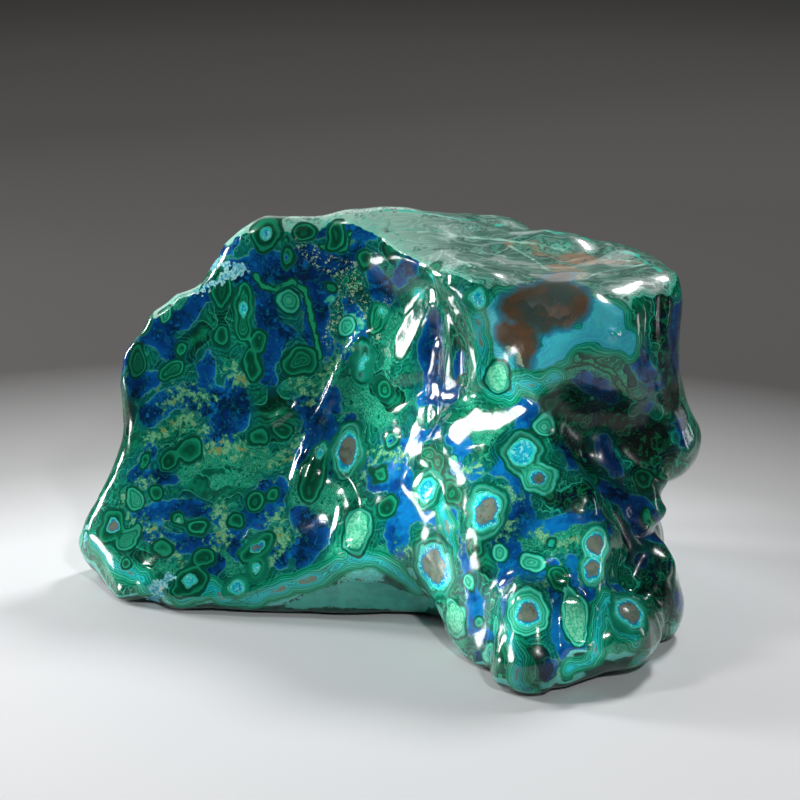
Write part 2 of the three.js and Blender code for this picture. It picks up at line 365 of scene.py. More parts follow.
# %% [markdown]
# ## Tipping one flat
# The skin's own direction is first averaged over a few millimetres, so that a bump under the strip
# doesn't turn it. What the halfway direction has across that fair direction is the slope wanted,
# and the skin then rises or falls in proportion to how far it lies from the strip's middle line.
# The slope has an upper limit, since a flat steeper than that would be a notch.

# %% Tip one flat
STEEPEST = 0.6
LEVELLING = 0.5
FULL_BELOW, FADE_PER_WIDTH = 1.4, 0.5
FAIR_REACH = 3.0
LEAST_FACING = 0.3


def fair_normal(place):
    near = normals[np.linalg.norm(where - place, axis=1) < FAIR_REACH].sum(axis=0)
    return near / np.linalg.norm(near)


def unit(arrow):
    return arrow / np.linalg.norm(arrow, axis=-1, keepdims=True)


def tipped(marks, width, lamp):
    places = [seen_at(x, y) for x, y in marks]
    facing = [fair_normal(place) for place in places]
    nearest, move = np.full(len(where), FAR), np.zeros_like(where)
    for a, b, facing_a, facing_b in zip(places, places[1:], facing, facing[1:]):
        halfway = unit(unit(np.array(camera.location) / MM - a) + unit(np.array(lamp) / MM - a))
        along, off, gap = off_link(where, a, b)
        out = unit(facing_a + (facing_b - facing_a) * along)
        lean = halfway - (out @ halfway)[:, None] * out
        slope = lean / np.maximum(out @ halfway, LEAST_FACING)[:, None]
        steep = np.maximum(np.linalg.norm(slope, axis=1), TINY)
        slope *= np.minimum(1.0, STEEPEST / steep)[:, None]
        rise = -(off * slope).sum(axis=1) - LEVELLING * (off * out).sum(axis=1)
        closer = gap < nearest
        fade = eased(FULL_BELOW - FADE_PER_WIDTH * gap / width)
        move[closer] = (out * (rise * fade)[:, None])[closer]
        nearest = np.minimum(nearest, gap)
    return move


print("a flat may lean", round(math.degrees(math.atan(STEEPEST))), "degrees at most")

# %% [markdown]
# ## Rubbing smooth
# Tipping leaves small steps between the squares, and they would break a reflection into streaks.
# Rubbing is bmesh's own smoothing of chosen points. The hollow between the two long ridges is
# rubbed first. Then the flats are cut in three passes, each measured on the skin that the last
# one left, and rubbed after every pass, because one pass alone stops short of the right slope. A
# few spots where flats meet are rubbed once more at the end.

# %% Rub and cut
TOUCHED = 0.03
FLAT_PASSES = 3
FIRST_TIMES, PASS_TIMES, LAST_TIMES = 12, 3, 8
RUB = 0.5
FIRST_RUBS = [((440, 338), 8.0), ((440, 362), 9.0), ((452, 392), 5.0)]
LAST_RUBS = [((440, 288), 5.0), ((437, 390), 4.0), ((454, 394), 4.0), ((412, 440), 4.0)]


def rub(touched, times):
    bm = bmesh.new()
    bm.from_mesh(stone_mesh)
    bm.verts.ensure_lookup_table()
    rubbed = [bm.verts[i] for i in np.flatnonzero(touched)]
    for _ in range(times):
        bmesh.ops.smooth_vert(
            bm, verts=rubbed, factor=RUB, use_axis_x=True, use_axis_y=True, use_axis_z=True)
    bm.to_mesh(stone_mesh)
    bm.free()
    redraw_skin(skin_points())
    return skin_points()


for (x, y), reach in FIRST_RUBS:
    where = rub(np.linalg.norm(where - seen_at(x, y), axis=1) < reach, FIRST_TIMES)
for _ in range(FLAT_PASSES):
    normals = skin_normals()
    moves = sum(tipped(marks, width, LAMPS[lamp]) for lamp, width, marks in FLATS)
    redraw_skin(where + moves)
    where = rub(np.linalg.norm(moves, axis=1) > TOUCHED, PASS_TIMES)
    print("the wheel moved the skin at most", round(np.linalg.norm(moves, axis=1).max(), 2), "mm")
for (x, y), reach in LAST_RUBS:
    where = rub(np.linalg.norm(where - seen_at(x, y), axis=1) < reach, LAST_TIMES)

# %% [markdown]
# ## Eyes
# Malachite grows outward from a point, skin after skin, so where the wheel cuts through such a ball
# the skins show as rings: an eye. Each eye is an egg sunk into the stone, so that its rings stay
# right when the skin over it bends. A blend is the soft least of many distances, which rounds the
# notch where two eggs touch.

# %% Distance from an egg
EGG_DEPTH = 2.2
MOST_POWER, LEAST_SUM = 60.0, 1e-26


def egg_distance(where, centre, axes, radii):
    local = (where - centre) @ axes.T
    near = np.linalg.norm(local / radii, axis=1)
    steep = np.linalg.norm(local / radii ** 2, axis=1)
    return near * (near - 1.0) / np.maximum(steep, TINY)


def seen_egg(where, x, y, wide, high, lean, share=1.0):
    centre = seen_at(x, y)
    mm = points_to_mm(centre)
    lean = math.radians(lean)
    tall = UP * math.cos(lean) + RIGHT * math.sin(lean)
    across = RIGHT * math.cos(lean) - UP * math.sin(lean)
    axes = np.array([across, tall, TO_VIEWER])
    radii = np.array([wide, high, EGG_DEPTH * max(wide, high)]) * mm * share
    return egg_distance(where, centre, axes, radii)


def blend(distances, soft):
    powers = np.exp(np.minimum(-np.array(distances) / soft, MOST_POWER))
    return -soft * np.log(powers.sum(axis=0) + LEAST_SUM)


print("an egg is", EGG_DEPTH, "times as deep as it is broad")

# %% [markdown]
# ## Where the eyes are
# A row gives an eye's place, its half-width and half-height in view points, and how far its tall
# axis leans to the right in degrees. Most hearts are green. Where the heart is something else, the
# row goes on with what fills it and its share of the eye: sky blue where chrysocolla filled the
# middle, brown where a little iron rich rock is left, deep blue azurite, or pale. All pale hearts
# take the same share of their eyes, so theirs is left at 0 here.

# %% Eyes
LEFT_EYES = [
    (267, 232, 14, 17, 25, "sky", 0.35), (305, 232, 10, 8, 0), (287, 257, 5, 9, 0, "blue", 0.7),
    (335, 236, 8, 13, 0), (366, 259, 6, 8, 0), (331, 287, 3, 3, 0), (222, 290, 7, 17, 5),
    (244, 311, 9, 29, 3, "sky", 0.33), (288, 301, 11, 11, 0), (259, 341, 6, 12, 5),
    (221, 337, 5, 10, 0), (252, 367, 8, 16, -5), (300, 361, 19, 13, -20), (137, 360, 8, 15, 5),
    (166, 315, 5, 9, 15), (181, 350, 4, 6, 10), (172, 370, 6, 14, 55), (259, 436, 8, 7, 0),
    (283, 431, 10, 7, 20), (190, 450, 10, 12, 10), (169, 460, 7, 7, 0), (144, 462, 4, 9, 20),
    (156, 493, 6, 6, 0), (135, 497, 14, 7, 60), (255, 501, 7, 9, 15), (273, 495, 5, 6, 0),
    (237, 521, 7, 6, 30), (200, 526, 10, 7, -15), (178, 520, 4, 4, 0, "pale", 0),
    (112, 527, 11, 17, 25, "brown", 0.4), (129, 538, 9, 15, 50),
    (257, 547, 8, 21, 50, "brown", 0.4), (204, 558, 11, 7, 0), (256, 570, 8, 11, 20, "sky", 0.5),
    (190, 581, 15, 13, 0, "sky", 0.4), (177, 591, 5, 5, 0), (236, 588, 10, 11, 0, "sky", 0.8),
    (126, 561, 4, 5, 0), (160, 548, 10, 6, 0),
]
MIDDLE_EYES = [
    (348, 450, 15, 28, 8, "brown", 0.72), (314, 474, 10, 29, 18), (321, 452, 5, 12, 15, "sky", 0.6),
    (362, 363, 8, 19, 5, "sky", 0.5), (385, 389, 7, 9, 0), (347, 327, 8, 11, 10),
    (379, 474, 8, 6, 0), (391, 440, 8, 8, 0, "blue", 0.6), (357, 530, 14, 24, 8, "pale", 0),
    (377, 320, 6, 14, 15), (384, 312, 5, 7, 0, "sky", 0.5), (388, 508, 9, 10, 20),
    (427, 454, 9, 6, 0), (438, 462, 6, 9, 10), (427, 489, 13, 20, 15, "sky", 0.62),
    (453, 494, 10, 11, 20), (453, 460, 5, 6, 0, "pale", 0), (420, 294, 9, 8, 0, "sky", 0.7),
    (478, 298, 11, 9, 20, "sky", 0.75), (463, 381, 6, 6, 0), (498, 377, 12, 17, 0, "pale", 0),
    (476, 550, 7, 6, 0), (500, 552, 7, 9, 0), (434, 567, 21, 31, -8, "brown", 0.78),
    (455, 618, 11, 19, -10, "pale", 0), (486, 511, 20, 28, 12, "brown", 0.7),
    (490, 653, 8, 11, 0, "blue", 0.5), (478, 621, 4, 4, 0, "blue", 0.9), (468, 582, 5, 8, -15),
    (402, 345, 5, 12, 10),
]
RIGHT_EYES = [
    (522, 452, 20, 21, 20, "sky", 0.6), (540, 478, 18, 16, 0, "brown", 0.5), (532, 562, 10, 8, 0),
    (558, 578, 10, 10, 0), (595, 545, 16, 18, 0, "brown", 0.72),
    (592, 569, 13, 16, 5, "brown", 0.66), (528, 612, 22, 25, 5, "brown", 0.6),
    (630, 612, 17, 21, -35, "brown", 0.8), (662, 612, 4, 6, 0), (551, 545, 5, 3, 0, "blue", 0.9),
    (575, 618, 13, 29, -8, "pale", 0), (550, 404, 4, 4, 0), (563, 396, 7, 6, 0),
    (545, 424, 11, 12, 0), (584, 424, 3, 3, 0), (580, 507, 3, 3, 0), (552, 497, 3, 3, 0),
    (592, 398, 3, 4, 0), (648, 520, 5, 10, -30), (665, 640, 7, 12, 20), (645, 480, 8, 10, 0),
    (668, 470, 6, 9, 10),
]
PLAIN_HEART = ("green", 0)
seen_eyes = [(*row, *PLAIN_HEART)[:7] for row in LEFT_EYES + MIDDLE_EYES + RIGHT_EYES]
print("eyes placed by hand:", len(seen_eyes))

# %% [markdown]
# ## Fields of azurite
# Between the eyes the stone is filled, and azurite makes wandering blue fields there. They are
# chains of places across, down and half-width in view points. A chain is used and not an outline,
# because the paint bends its border later, and a hand drawn outline would be bent twice.

# %% Blue fields
BLUE_FIELDS = [
    [(258, 258, 8), (285, 268, 14), (310, 262, 16), (318, 290, 14), (315, 330, 11), (322, 352, 8)],
    [(262, 310, 6), (266, 345, 8), (268, 378, 7)], [(284, 334, 6), (276, 322, 4)],
    [(350, 305, 5), (356, 330, 8), (346, 352, 5)], [(372, 262, 6), (380, 285, 9), (388, 300, 6)],
    [(205, 275, 6), (196, 300, 6), (184, 318, 8), (150, 330, 12), (135, 335, 7)],
    [(137, 385, 10), (152, 380, 7)],
    [(150, 415, 9), (172, 398, 10), (200, 398, 12), (226, 408, 15), (218, 440, 12)],
    [(236, 386, 9), (240, 420, 8)],
    [(232, 268, 5), (262, 290, 6), (268, 312, 8), (274, 345, 9), (264, 372, 7)],
    [(208, 360, 6), (206, 380, 7)], [(306, 402, 5), (318, 415, 10), (306, 440, 8), (298, 460, 4)],
    [(330, 395, 7), (336, 410, 4)], [(150, 452, 5), (134, 478, 6), (152, 478, 6), (172, 480, 3)],
    [(140, 515, 6), (162, 510, 8), (190, 508, 6), (222, 520, 5)],
    [(150, 530, 7), (175, 545, 9), (205, 542, 7), (228, 540, 6), (240, 556, 5)],
    [(265, 486, 7), (250, 515, 8), (238, 532, 6)], [(282, 486, 5), (276, 505, 6), (262, 524, 5)],
    [(300, 516, 9), (312, 535, 13), (298, 552, 6)], [(324, 536, 7), (300, 566, 3)],
    [(205, 562, 3), (216, 562, 7), (211, 580, 3)], [(282, 560, 5), (274, 540, 4)],
    [(330, 425, 5), (322, 442, 3)], [(352, 418, 3), (334, 440, 4), (330, 468, 5)],
    [(366, 466, 4), (380, 480, 11), (398, 470, 13), (404, 500, 12), (396, 530, 11), (400, 552, 6)],
    [(388, 440, 8), (404, 446, 6), (420, 436, 5), (436, 430, 4)],
    [(452, 436, 4), (462, 446, 10), (456, 466, 5)],
    [(410, 512, 5), (432, 518, 5), (446, 522, 6), (456, 540, 6), (464, 560, 5), (470, 590, 5),
     (476, 608, 9), (474, 625, 7)],
    [(440, 506, 4), (452, 514, 5)], [(472, 474, 4), (478, 470, 4)],
    [(498, 470, 4), (512, 470, 6), (520, 490, 7), (522, 515, 10), (500, 540, 7), (508, 552, 9),
     (505, 580, 7)],
    [(530, 530, 6), (556, 524, 5), (585, 516, 4), (606, 516, 4), (610, 530, 3)],
    [(520, 566, 8), (535, 576, 9), (552, 566, 6)], [(504, 600, 5), (506, 625, 4)],
    [(552, 666, 5), (548, 676, 4)],
    [(553, 588, 5), (560, 610, 5), (556, 640, 5), (566, 652, 5), (580, 648, 4)],
    [(572, 560, 3), (575, 585, 4)], [(588, 592, 6), (606, 592, 6), (618, 588, 3)],
    [(603, 442, 6), (608, 458, 7), (616, 470, 5)],
    [(516, 404, 4), (528, 412, 9), (520, 432, 4), (508, 448, 3), (500, 466, 3)],
    [(399, 283, 3), (404, 270, 7), (412, 262, 7)],
    [(434, 320, 7), (432, 350, 12), (436, 380, 15), (424, 398, 8), (452, 396, 7)],
    [(460, 360, 4), (458, 385, 4)], [(636, 346, 8), (642, 364, 9), (648, 378, 5)], [(655, 386, 5)],
    [(484, 660, 7), (478, 667, 5)], [(470, 664, 5), (488, 668, 4)], [(486, 638, 4), (490, 646, 9)],
    [(582, 378, 5), (600, 388, 9), (612, 400, 6)], [(680, 424, 4), (684, 440, 4)],
    [(566, 450, 4), (574, 466, 3)], [(648, 408, 3)], [(662, 520, 3)], [(640, 560, 4)],
    [(646, 484, 3)], [(360, 250, 5), (345, 262, 5), (330, 262, 8)],
]
print("fields of azurite:", len(BLUE_FIELDS))

# %% [markdown]
# ## Masses, beds and lace
# Malachite makes dark solid masses, paler mint beds, and a lime coloured lace where it and the
# azurite were still turning into each other when growth stopped.

# %% Dark masses, mint beds and lace
DARK_MASSES = [
    [(252, 425, 18), (275, 420, 22), (292, 424, 14)],
    [(148, 388, 5), (166, 368, 10), (184, 350, 14), (204, 330, 9)], [(288, 302, 16)],
    [(212, 275, 6), (222, 300, 8), (222, 330, 6)], [(270, 385, 6), (272, 400, 5)],
    [(290, 368, 8), (280, 380, 5)], [(380, 385, 12), (394, 400, 12)],
    [(128, 430, 5), (135, 410, 4)], [(185, 500, 8), (205, 510, 10)],
    [(264, 245, 13), (258, 250, 7)], [(425, 460, 16), (428, 490, 20)],
    [(484, 556, 14), (494, 566, 12)],
    [(556, 500, 10), (580, 498, 14), (598, 500, 8), (560, 516, 8)],
    [(530, 375, 5), (560, 360, 6), (590, 350, 6), (625, 352, 4), (632, 385, 5)],
    [(458, 340, 5), (456, 370, 6)], [(535, 395, 6), (520, 392, 6), (500, 400, 4)],
    [(395, 250, 7), (385, 246, 6), (398, 268, 3)], [(620, 495, 9), (640, 530, 8)],
    [(325, 233, 9), (308, 234, 8)], [(150, 560, 8), (120, 550, 8)], [(240, 555, 4)],
    [(362, 262, 9)], [(660, 590, 12), (680, 570, 9)],
]
MINT_BEDS = [
    [(182, 476, 7), (200, 462, 9), (230, 455, 12), (262, 458, 12), (250, 480, 10), (215, 482, 9)],
    [(340, 380, 9), (362, 396, 14), (384, 420, 12)], [(352, 408, 11), (330, 455, 9)],
    [(300, 470, 8), (294, 500, 8), (330, 500, 16), (350, 492, 8)],
    [(225, 555, 8), (232, 570, 8), (250, 558, 4)], [(270, 520, 9), (255, 530, 6)],
    [(350, 540, 16), (330, 560, 8), (378, 556, 12), (300, 580, 8)],
    [(395, 340, 12), (398, 320, 12), (388, 360, 8)], [(478, 438, 12), (500, 430, 9)],
    [(448, 500, 10), (460, 540, 8)], [(560, 530, 8), (590, 526, 10), (540, 540, 10), (522, 545, 6)],
    [(580, 610, 10), (584, 640, 8), (576, 650, 6)],
    [(600, 620, 8), (596, 660, 8), (612, 650, 8), (640, 640, 9)], [(415, 402, 8), (470, 400, 6)],
    [(470, 390, 10), (480, 350, 7), (476, 320, 6)], [(500, 600, 6), (496, 630, 7)],
    [(445, 580, 6), (460, 640, 10), (480, 678, 6)], [(540, 690, 6), (530, 672, 9)],
    [(170, 600, 6), (200, 604, 8), (230, 600, 8)], [(556, 382, 9), (590, 362, 8), (630, 382, 8)],
    [(180, 575, 8), (155, 570, 8)], [(345, 215, 9), (375, 222, 10), (395, 240, 6)],
    [(260, 220, 6), (250, 235, 5)],
]
LIME_LACE = [
    [(296, 380, 6), (306, 388, 7)], [(344, 352, 5), (330, 368, 7), (318, 388, 6), (310, 402, 4)],
    [(300, 434, 4), (288, 455, 6), (270, 462, 6)],
    [(148, 444, 5), (165, 428, 7), (190, 418, 6), (206, 432, 4)],
    [(190, 455, 6), (222, 448, 9), (250, 450, 8)], [(232, 365, 5), (240, 380, 7)],
    [(168, 402, 6), (186, 392, 7), (208, 398, 5)], [(220, 505, 7), (225, 530, 8), (216, 545, 6)],
    [(275, 515, 6), (280, 545, 6)], [(360, 452, 4), (372, 462, 4), (362, 475, 4)],
    [(384, 452, 7), (404, 456, 6)], [(465, 472, 6), (480, 465, 5)], [(506, 490, 4), (516, 500, 5)],
    [(500, 535, 4), (512, 525, 3)], [(128, 496, 7), (145, 482, 6)], [(448, 522, 4), (460, 548, 4)],
    [(402, 556, 5), (415, 545, 3)], [(540, 535, 5), (556, 545, 6), (576, 540, 4)],
    [(546, 585, 4), (552, 576, 4)], [(600, 588, 3), (614, 590, 4)], [(290, 535, 5), (268, 560, 4)],
    [(128, 515, 4), (160, 535, 5), (180, 560, 4)], [(345, 330, 4), (352, 350, 4)],
    [(494, 415, 6), (470, 425, 6)],
]
print("masses:", len(DARK_MASSES), "beds:", len(MINT_BEDS), "patches of lace:", len(LIME_LACE))

# %% [markdown]
# ## Specks, threads and folds
# Pale specks are strewn over the blue like stars, a few thin green threads wander through it, and
# where the stone grew along a wall its skins lie in folds.

# %% Specks, threads and folds
STAR_SPECKS = [
    [(302, 244, 6), (318, 258, 8), (336, 268, 8), (356, 282, 8)],
    [(350, 270, 9), (345, 300, 8), (335, 318, 6), (328, 342, 5)], [(366, 300, 6), (360, 320, 5)],
    [(385, 300, 5), (376, 340, 5)],
]
THIN_GREEN = [
    [(255, 275, 1.6), (262, 286, 1.6), (275, 290, 1.6), (292, 281, 1.6), (305, 290, 1.6),
     (311, 315, 1.6), (316, 338, 1.6), (320, 358, 1.6)],
    [(286, 216, 1.3), (286, 240, 1.3)], [(320, 246, 1.3), (345, 250, 1.3), (350, 232, 1.3)],
    [(520, 382, 1.6), (545, 380, 1.6), (568, 366, 1.6), (590, 361, 1.6), (612, 372, 1.6),
     (626, 396, 1.6)],
    [(505, 400, 1.4), (490, 388, 1.6), (484, 360, 1.6), (478, 340, 1.4), (474, 318, 1.4)],
]
FOLDS = [
    [(607, 598), (601, 612), (597, 632), (596, 650), (588, 663), (570, 668)],
    [(612, 600), (613, 614), (622, 628), (636, 640)],
    [(478, 318), (481, 345), (484, 375), (492, 392), (506, 394), (516, 382), (535, 386),
     (556, 378)],
    [(514, 600), (508, 622), (512, 645), (521, 660), (516, 680), (528, 690)],
    [(577, 684), (594, 684), (618, 672), (640, 660)],
    [(92, 540), (110, 562), (140, 578), (152, 592)],
    [(180, 598), (212, 588), (222, 598), (250, 600), (284, 588), (320, 576), (352, 560)],
    [(352, 556), (375, 560), (398, 572), (416, 590)],
    [(448, 488), (441, 508), (448, 530), (452, 552)],
]
print("specks, threads and folds:", len(STAR_SPECKS), len(THIN_GREEN), len(FOLDS))

# %% [markdown]
# ## The top, the window and the hollow
# The top has a rosy band, a few creases and a bright far rim. One window of brown rock is left near
# it, in a pool of turquoise. The stone is painted dark in the hollow on the right, partly dark
# malachite and partly painted shade, and the facet under the left half is plain.

# %% Top, window, pool and hollow
ROSY_BAND = [
    [(512, 243, 4), (540, 251, 9), (575, 259, 11), (615, 261, 6), (645, 263, 3)],
    [(556, 268, 12), (575, 276, 12)],
]
TOP_CREASES = [
    [(440, 250, 0.5), (470, 266, 0.6), (508, 283, 0.5)],
    [(418, 232, 0.6), (470, 237, 0.8), (505, 240, 0.8), (560, 249, 0.7), (640, 262, 0.5)],
    [(510, 246, 0.4), (530, 257, 0.5), (549, 270, 0.5)],
    [(575, 288, 0.6), (600, 272, 0.6), (645, 264, 0.6)],
]
FAR_RIM = [
    [(380, 210, 1.0), (430, 214, 1.0), (466, 220, 1.0), (500, 225, 1.0), (552, 232, 1.0),
     (590, 241, 1.0), (632, 253, 1.0), (662, 261, 1.0)],
]
BROWN_WINDOW = [
    [(514, 308, 18), (535, 302, 26), (564, 304, 28)],
    [(508, 335, 15), (524, 340, 20), (525, 360, 11)], [(545, 325, 12)],
    [(564, 298, 20), (554, 285, 18), (562, 275, 12)],
]
TURQUOISE_POOL = [
    [(590, 305, 9), (606, 316, 17), (596, 326, 12)],
    [(550, 340, 10), (575, 336, 8), (600, 334, 8), (630, 345, 9)],
    [(505, 315, 20), (500, 340, 18), (522, 362, 16)], [(560, 345, 12), (542, 360, 10)],
]
# partly dark malachite and partly painted shade: the hollow, the right side and the toe's underside
DARK_HOLLOW = [
    [(552, 400, 10), (575, 400, 28), (600, 410, 34), (570, 440, 26), (592, 455, 26)],
    [(640, 440, 26), (655, 455, 24), (650, 480, 20)],
    [(612, 480, 16), (630, 520, 20), (650, 560, 22), (672, 580, 16)],
    [(664, 330, 14), (668, 380, 14), (680, 420, 14)], [(655, 285, 9), (664, 305, 12)],
    [(580, 495, 16), (556, 500, 10)], [(646, 588, 10), (664, 602, 16), (674, 622, 10)],
    [(655, 648, 8), (622, 670, 5)], [(538, 650, 6), (546, 670, 9), (532, 686, 6)],
]
PLAIN_FACET = [
    [(288, 606, 4), (318, 600, 11), (350, 594, 17), (384, 596, 19), (412, 604, 15), (434, 616, 9)],
]
PALE_GRAINS = [[(508, 347, 3), (512, 350, 2)], [(518, 355, 4), (522, 364, 3)]]
print("dark hollow is", len(DARK_HOLLOW), "overlapping chains")

# %% [markdown]
# ## Painted light, painted shade, and the bruises
# Where the lamps light the stone most its colour is painted brighter, a painted light, and where it
# lies in shade it is painted darker, a painted shade. Three bruises on the left edge broke through
# the polish and show chalky turquoise.

# %% Painted light, painted shade and bruises
# painted light: inside these chains the stone's colour is painted brighter
SUNNY_SIDE = [
    [(372, 330, 20), (392, 380, 30), (400, 440, 34), (420, 500, 36), (360, 540, 28)],
    [(470, 430, 30), (470, 500, 34), (520, 450, 26), (500, 380, 14)],
    [(560, 545, 34), (590, 560, 20), (440, 580, 26), (580, 650, 26), (530, 620, 20)],
]
# painted shade: inside these chains the stone's colour is painted darker
SHADY_SIDE = [
    [(134, 345, 12), (130, 400, 14), (120, 450, 12)],
    [(522, 655, 14), (534, 680, 16), (550, 674, 12)],
    [(560, 395, 14), (600, 400, 30), (640, 430, 24)], [(655, 600, 22), (645, 650, 16)],
]
BRUISES = [
    [(152, 600, 5), (160, 588, 8), (168, 578, 5)],
    [(196, 292, 3), (202, 280, 5), (212, 266, 4), (220, 258, 2)], [(88, 528, 3), (85, 545, 2)],
]
print("bruises:", len(BRUISES))

# %% [markdown]
# ## The sides the viewer can't see
# The back and the ends carry the same minerals, so eyes and fields are strewn there by chance. The
# dice have a fixed seed, so the stone comes out the same each time. A field wanders: it steps over
# the skin, keeps roughly to its heading, and is a little narrower or wider at each step.

# %% Wander over the hidden sides
SEED = 7
EDGE_ON = 0.08
UNDERSIDE = -0.8
TURNING = 0.6
dice = np.random.default_rng(SEED)
normals = skin_normals()
facing = normals @ np.array(TO_VIEWER)
hidden = np.flatnonzero((facing < EDGE_ON) & (normals[:, 2] > UNDERSIDE))


def on_skin(place):
    found, _, _, _ = tree.find_nearest(Vector(place * MM))
    return np.array(found) / MM


def wander(steps, stride):
    place = where[dice.choice(hidden)]
    heading = dice.normal(size=3)
    path = [place]
    for _ in range(steps):
        heading = heading + TURNING * dice.normal(size=3)
        path.append(on_skin(path[-1] + stride * heading / np.linalg.norm(heading)))
    return path


def strewn_chains(count, steps, stride, narrow, wide):
    return [(wander(steps, stride), dice.uniform(narrow, wide, steps + 1)) for _ in range(count)]


print("hidden points of the skin:", len(hidden))

# %% [markdown]
# ## Strewing
# Each new eye keeps clear of the ones before it, because two balls of malachite can't fill one
# place, so it is thrown again and again until it finds room. Most eyes are small and a few are
# large, which a gamma distribution gives and an even one doesn't. All sizes are in millimetres.

# %% Strew eyes and fields
MOST_EYES, TRIES = 230, 4000
LEAST_EYE, ROOM, CLEARANCE = 1.2, 1.15, 1.0
EVENNESS, TYPICAL = 3.0, 0.9
HEARTS = ["green", "green", "green", "sky", "brown", "blue", "pale"]
strewn_eyes = []
for _ in range(TRIES):
    place, size = where[dice.choice(hidden)], dice.gamma(EVENNESS, TYPICAL) + LEAST_EYE
    rooms = [(other, ROOM * (size + taken) + CLEARANCE) for other, taken, _, _ in strewn_eyes]
    if all(np.linalg.norm(place - other) > room for other, room in rooms):
        heart = dice.choice(HEARTS)
        strewn_eyes.append((place, size, heart, dice.uniform(0.35, 0.65)))
    if len(strewn_eyes) == MOST_EYES:
        break
strewn = {
    # how many, how many steps, the stride, and the least and the most half-width
    "azurite": strewn_chains(60, 4, 8.0, 1.5, 5.5),
    "mass": strewn_chains(26, 3, 8.0, 2.0, 6.0),
    "mint": strewn_chains(36, 3, 8.0, 2.0, 5.0),
    "lime": strewn_chains(26, 3, 5.0, 1.0, 2.6),
}
print("eyes strewn on the hidden sides:", len(strewn_eyes))

# %% [markdown]
# ## Writing the minerals onto the skin
# Every point of the skin keeps, for each mineral, how far it is in millimetres from that mineral's
# border, below zero inside. The border itself is left to the paint, which can then bend it with a
# finer grain than the skin has points. Eyes that touch are blended so that their outer rings run
# round both, as they do in the stone.

# %% Keep the eyes
FARTHEST_KEPT = 30.0
CLOSE_BLEND, WIDE_BLEND, FIELD_BLEND = 0.2, 0.45, 0.5
EARTH_SHARE = 0.68
PALE_SHARE = 0.8
BLUE_HEART_IN = 0.6
LEFT_TURN = 0.75
STREWN_SHAPE = np.array([0.75, 1.25, 1.0])
TWIST_AXIS = Vector((1.0, 2.0, 1.5)).normalized()
TWIST_PER_MM = 7.0


def keep(name, values):
    layer = stone_mesh.attributes.new(name, "FLOAT", "POINT")
    values = np.clip(values, -FARTHEST_KEPT, FARTHEST_KEPT)
    layer.data.foreach_set("value", values.astype(np.float32))


def eye_distances(hearts=None):
    distances = []
    for x, y, wide, high, lean, kind, share in seen_eyes:
        if hearts is None or kind in hearts:
            distances.append(seen_egg(where, x, y, wide, high, lean, share if hearts else 1.0))
    for place, size, kind, share in strewn_eyes:
        if hearts is None or kind in hearts:
            twist = Matrix.Rotation(TWIST_PER_MM * size, 3, TWIST_AXIS)
            radii = size * STREWN_SHAPE * (share if hearts else 1.0)
            distances.append(egg_distance(where, place, np.array(twist), radii))
    return distances


def seen_hearts(kind, share_of):
    return [seen_egg(where, *row[:5], share_of(row)) for row in seen_eyes if row[5] == kind]


from_eyes = eye_distances()
turns = dice.random(len(from_eyes))
turns[:len(LEFT_EYES)] *= LEFT_TURN
light_eyes = [row for row in seen_eyes[len(LEFT_EYES):] if row[5] != "green"]
keep("eye", blend(from_eyes, WIDE_BLEND))
keep("eye turn", turns[np.argmin(from_eyes, axis=0)])
keep("sky heart", blend(eye_distances(("sky", "brown")), CLOSE_BLEND))
keep("blue heart", blend([d + BLUE_HEART_IN for d in eye_distances(("blue",))], CLOSE_BLEND))
keep("light eye", blend([seen_egg(where, *row[:5]) for row in light_eyes], WIDE_BLEND))
keep("brown heart", blend(seen_hearts("brown", lambda row: row[6] * EARTH_SHARE), CLOSE_BLEND))
keep("pale heart", blend(seen_hearts("pale", lambda row: PALE_SHARE), CLOSE_BLEND))
print("eyes kept:", len(from_eyes))

# %% [markdown]
# ## Fields, beds and the rest
# The other borders are all made the same way, so one loop over their names does it: the chains
# listed here, and with them the ones strewn on the hidden sides where there are any.

# %% Keep the fields
BORDERS = {
    "azurite": BLUE_FIELDS, "mass": DARK_MASSES, "mint": MINT_BEDS, "lime": LIME_LACE,
    "speck": STAR_SPECKS, "thread": THIN_GREEN, "window": BROWN_WINDOW, "rosy": ROSY_BAND,
    "crease": TOP_CREASES, "far rim": FAR_RIM,
    "fold": [[(x, y, 0.0) for x, y in fold] for fold in FOLDS],
    "pool": TURQUOISE_POOL, "plain facet": PLAIN_FACET, "hollow": DARK_HOLLOW,
    "pale grain": PALE_GRAINS, "sunny": SUNNY_SIDE, "shady": SHADY_SIDE, "bruise": BRUISES,
}
for name, chains in BORDERS.items():
    distances = [seen_chain(where, marks) for marks in chains]
    distances += [chain_distance(where, path, widths) for path, widths in strewn.get(name, [])]
    keep(name, blend(distances, FIELD_BLEND))
print("borders kept on the skin:", len(BORDERS))

# %% [markdown]
# ## The top and the skirt
# The top is wherever the stone faces up and is high, and the skirt wherever it leans inwards near
# the table, on every side. So these two are worked out from the way the skin faces, which gives
# the back its top and skirt too.

# %% Keep the top and the skirt
NOWHERE = 20.0
PER_SLOPE, PER_HEIGHT = 14.0, 12.0
TOP_FROM, TOP_FADE, TOP_FACING = 70.0, 12.0, 0.62
SKIRT_FROM, SKIRT_FADE, SKIRT_FACING = 34.0, 6.0, -0.24


def by_facing(level, slope):
    return np.where(level > 0.0, slope * PER_SLOPE + PER_HEIGHT * (1.0 - level), NOWHERE)


high_up = np.clip((where[:, 2] - TOP_FROM) / TOP_FADE, 0.0, 1.0)
low_down = np.clip((SKIRT_FROM - where[:, 2]) / SKIRT_FADE, 0.0, 1.0)
keep("top", by_facing(high_up, TOP_FACING - normals[:, 2]))
keep("skirt", by_facing(low_down, normals[:, 2] - SKIRT_FACING))
print("distances on every point:", len(stone_mesh.attributes))


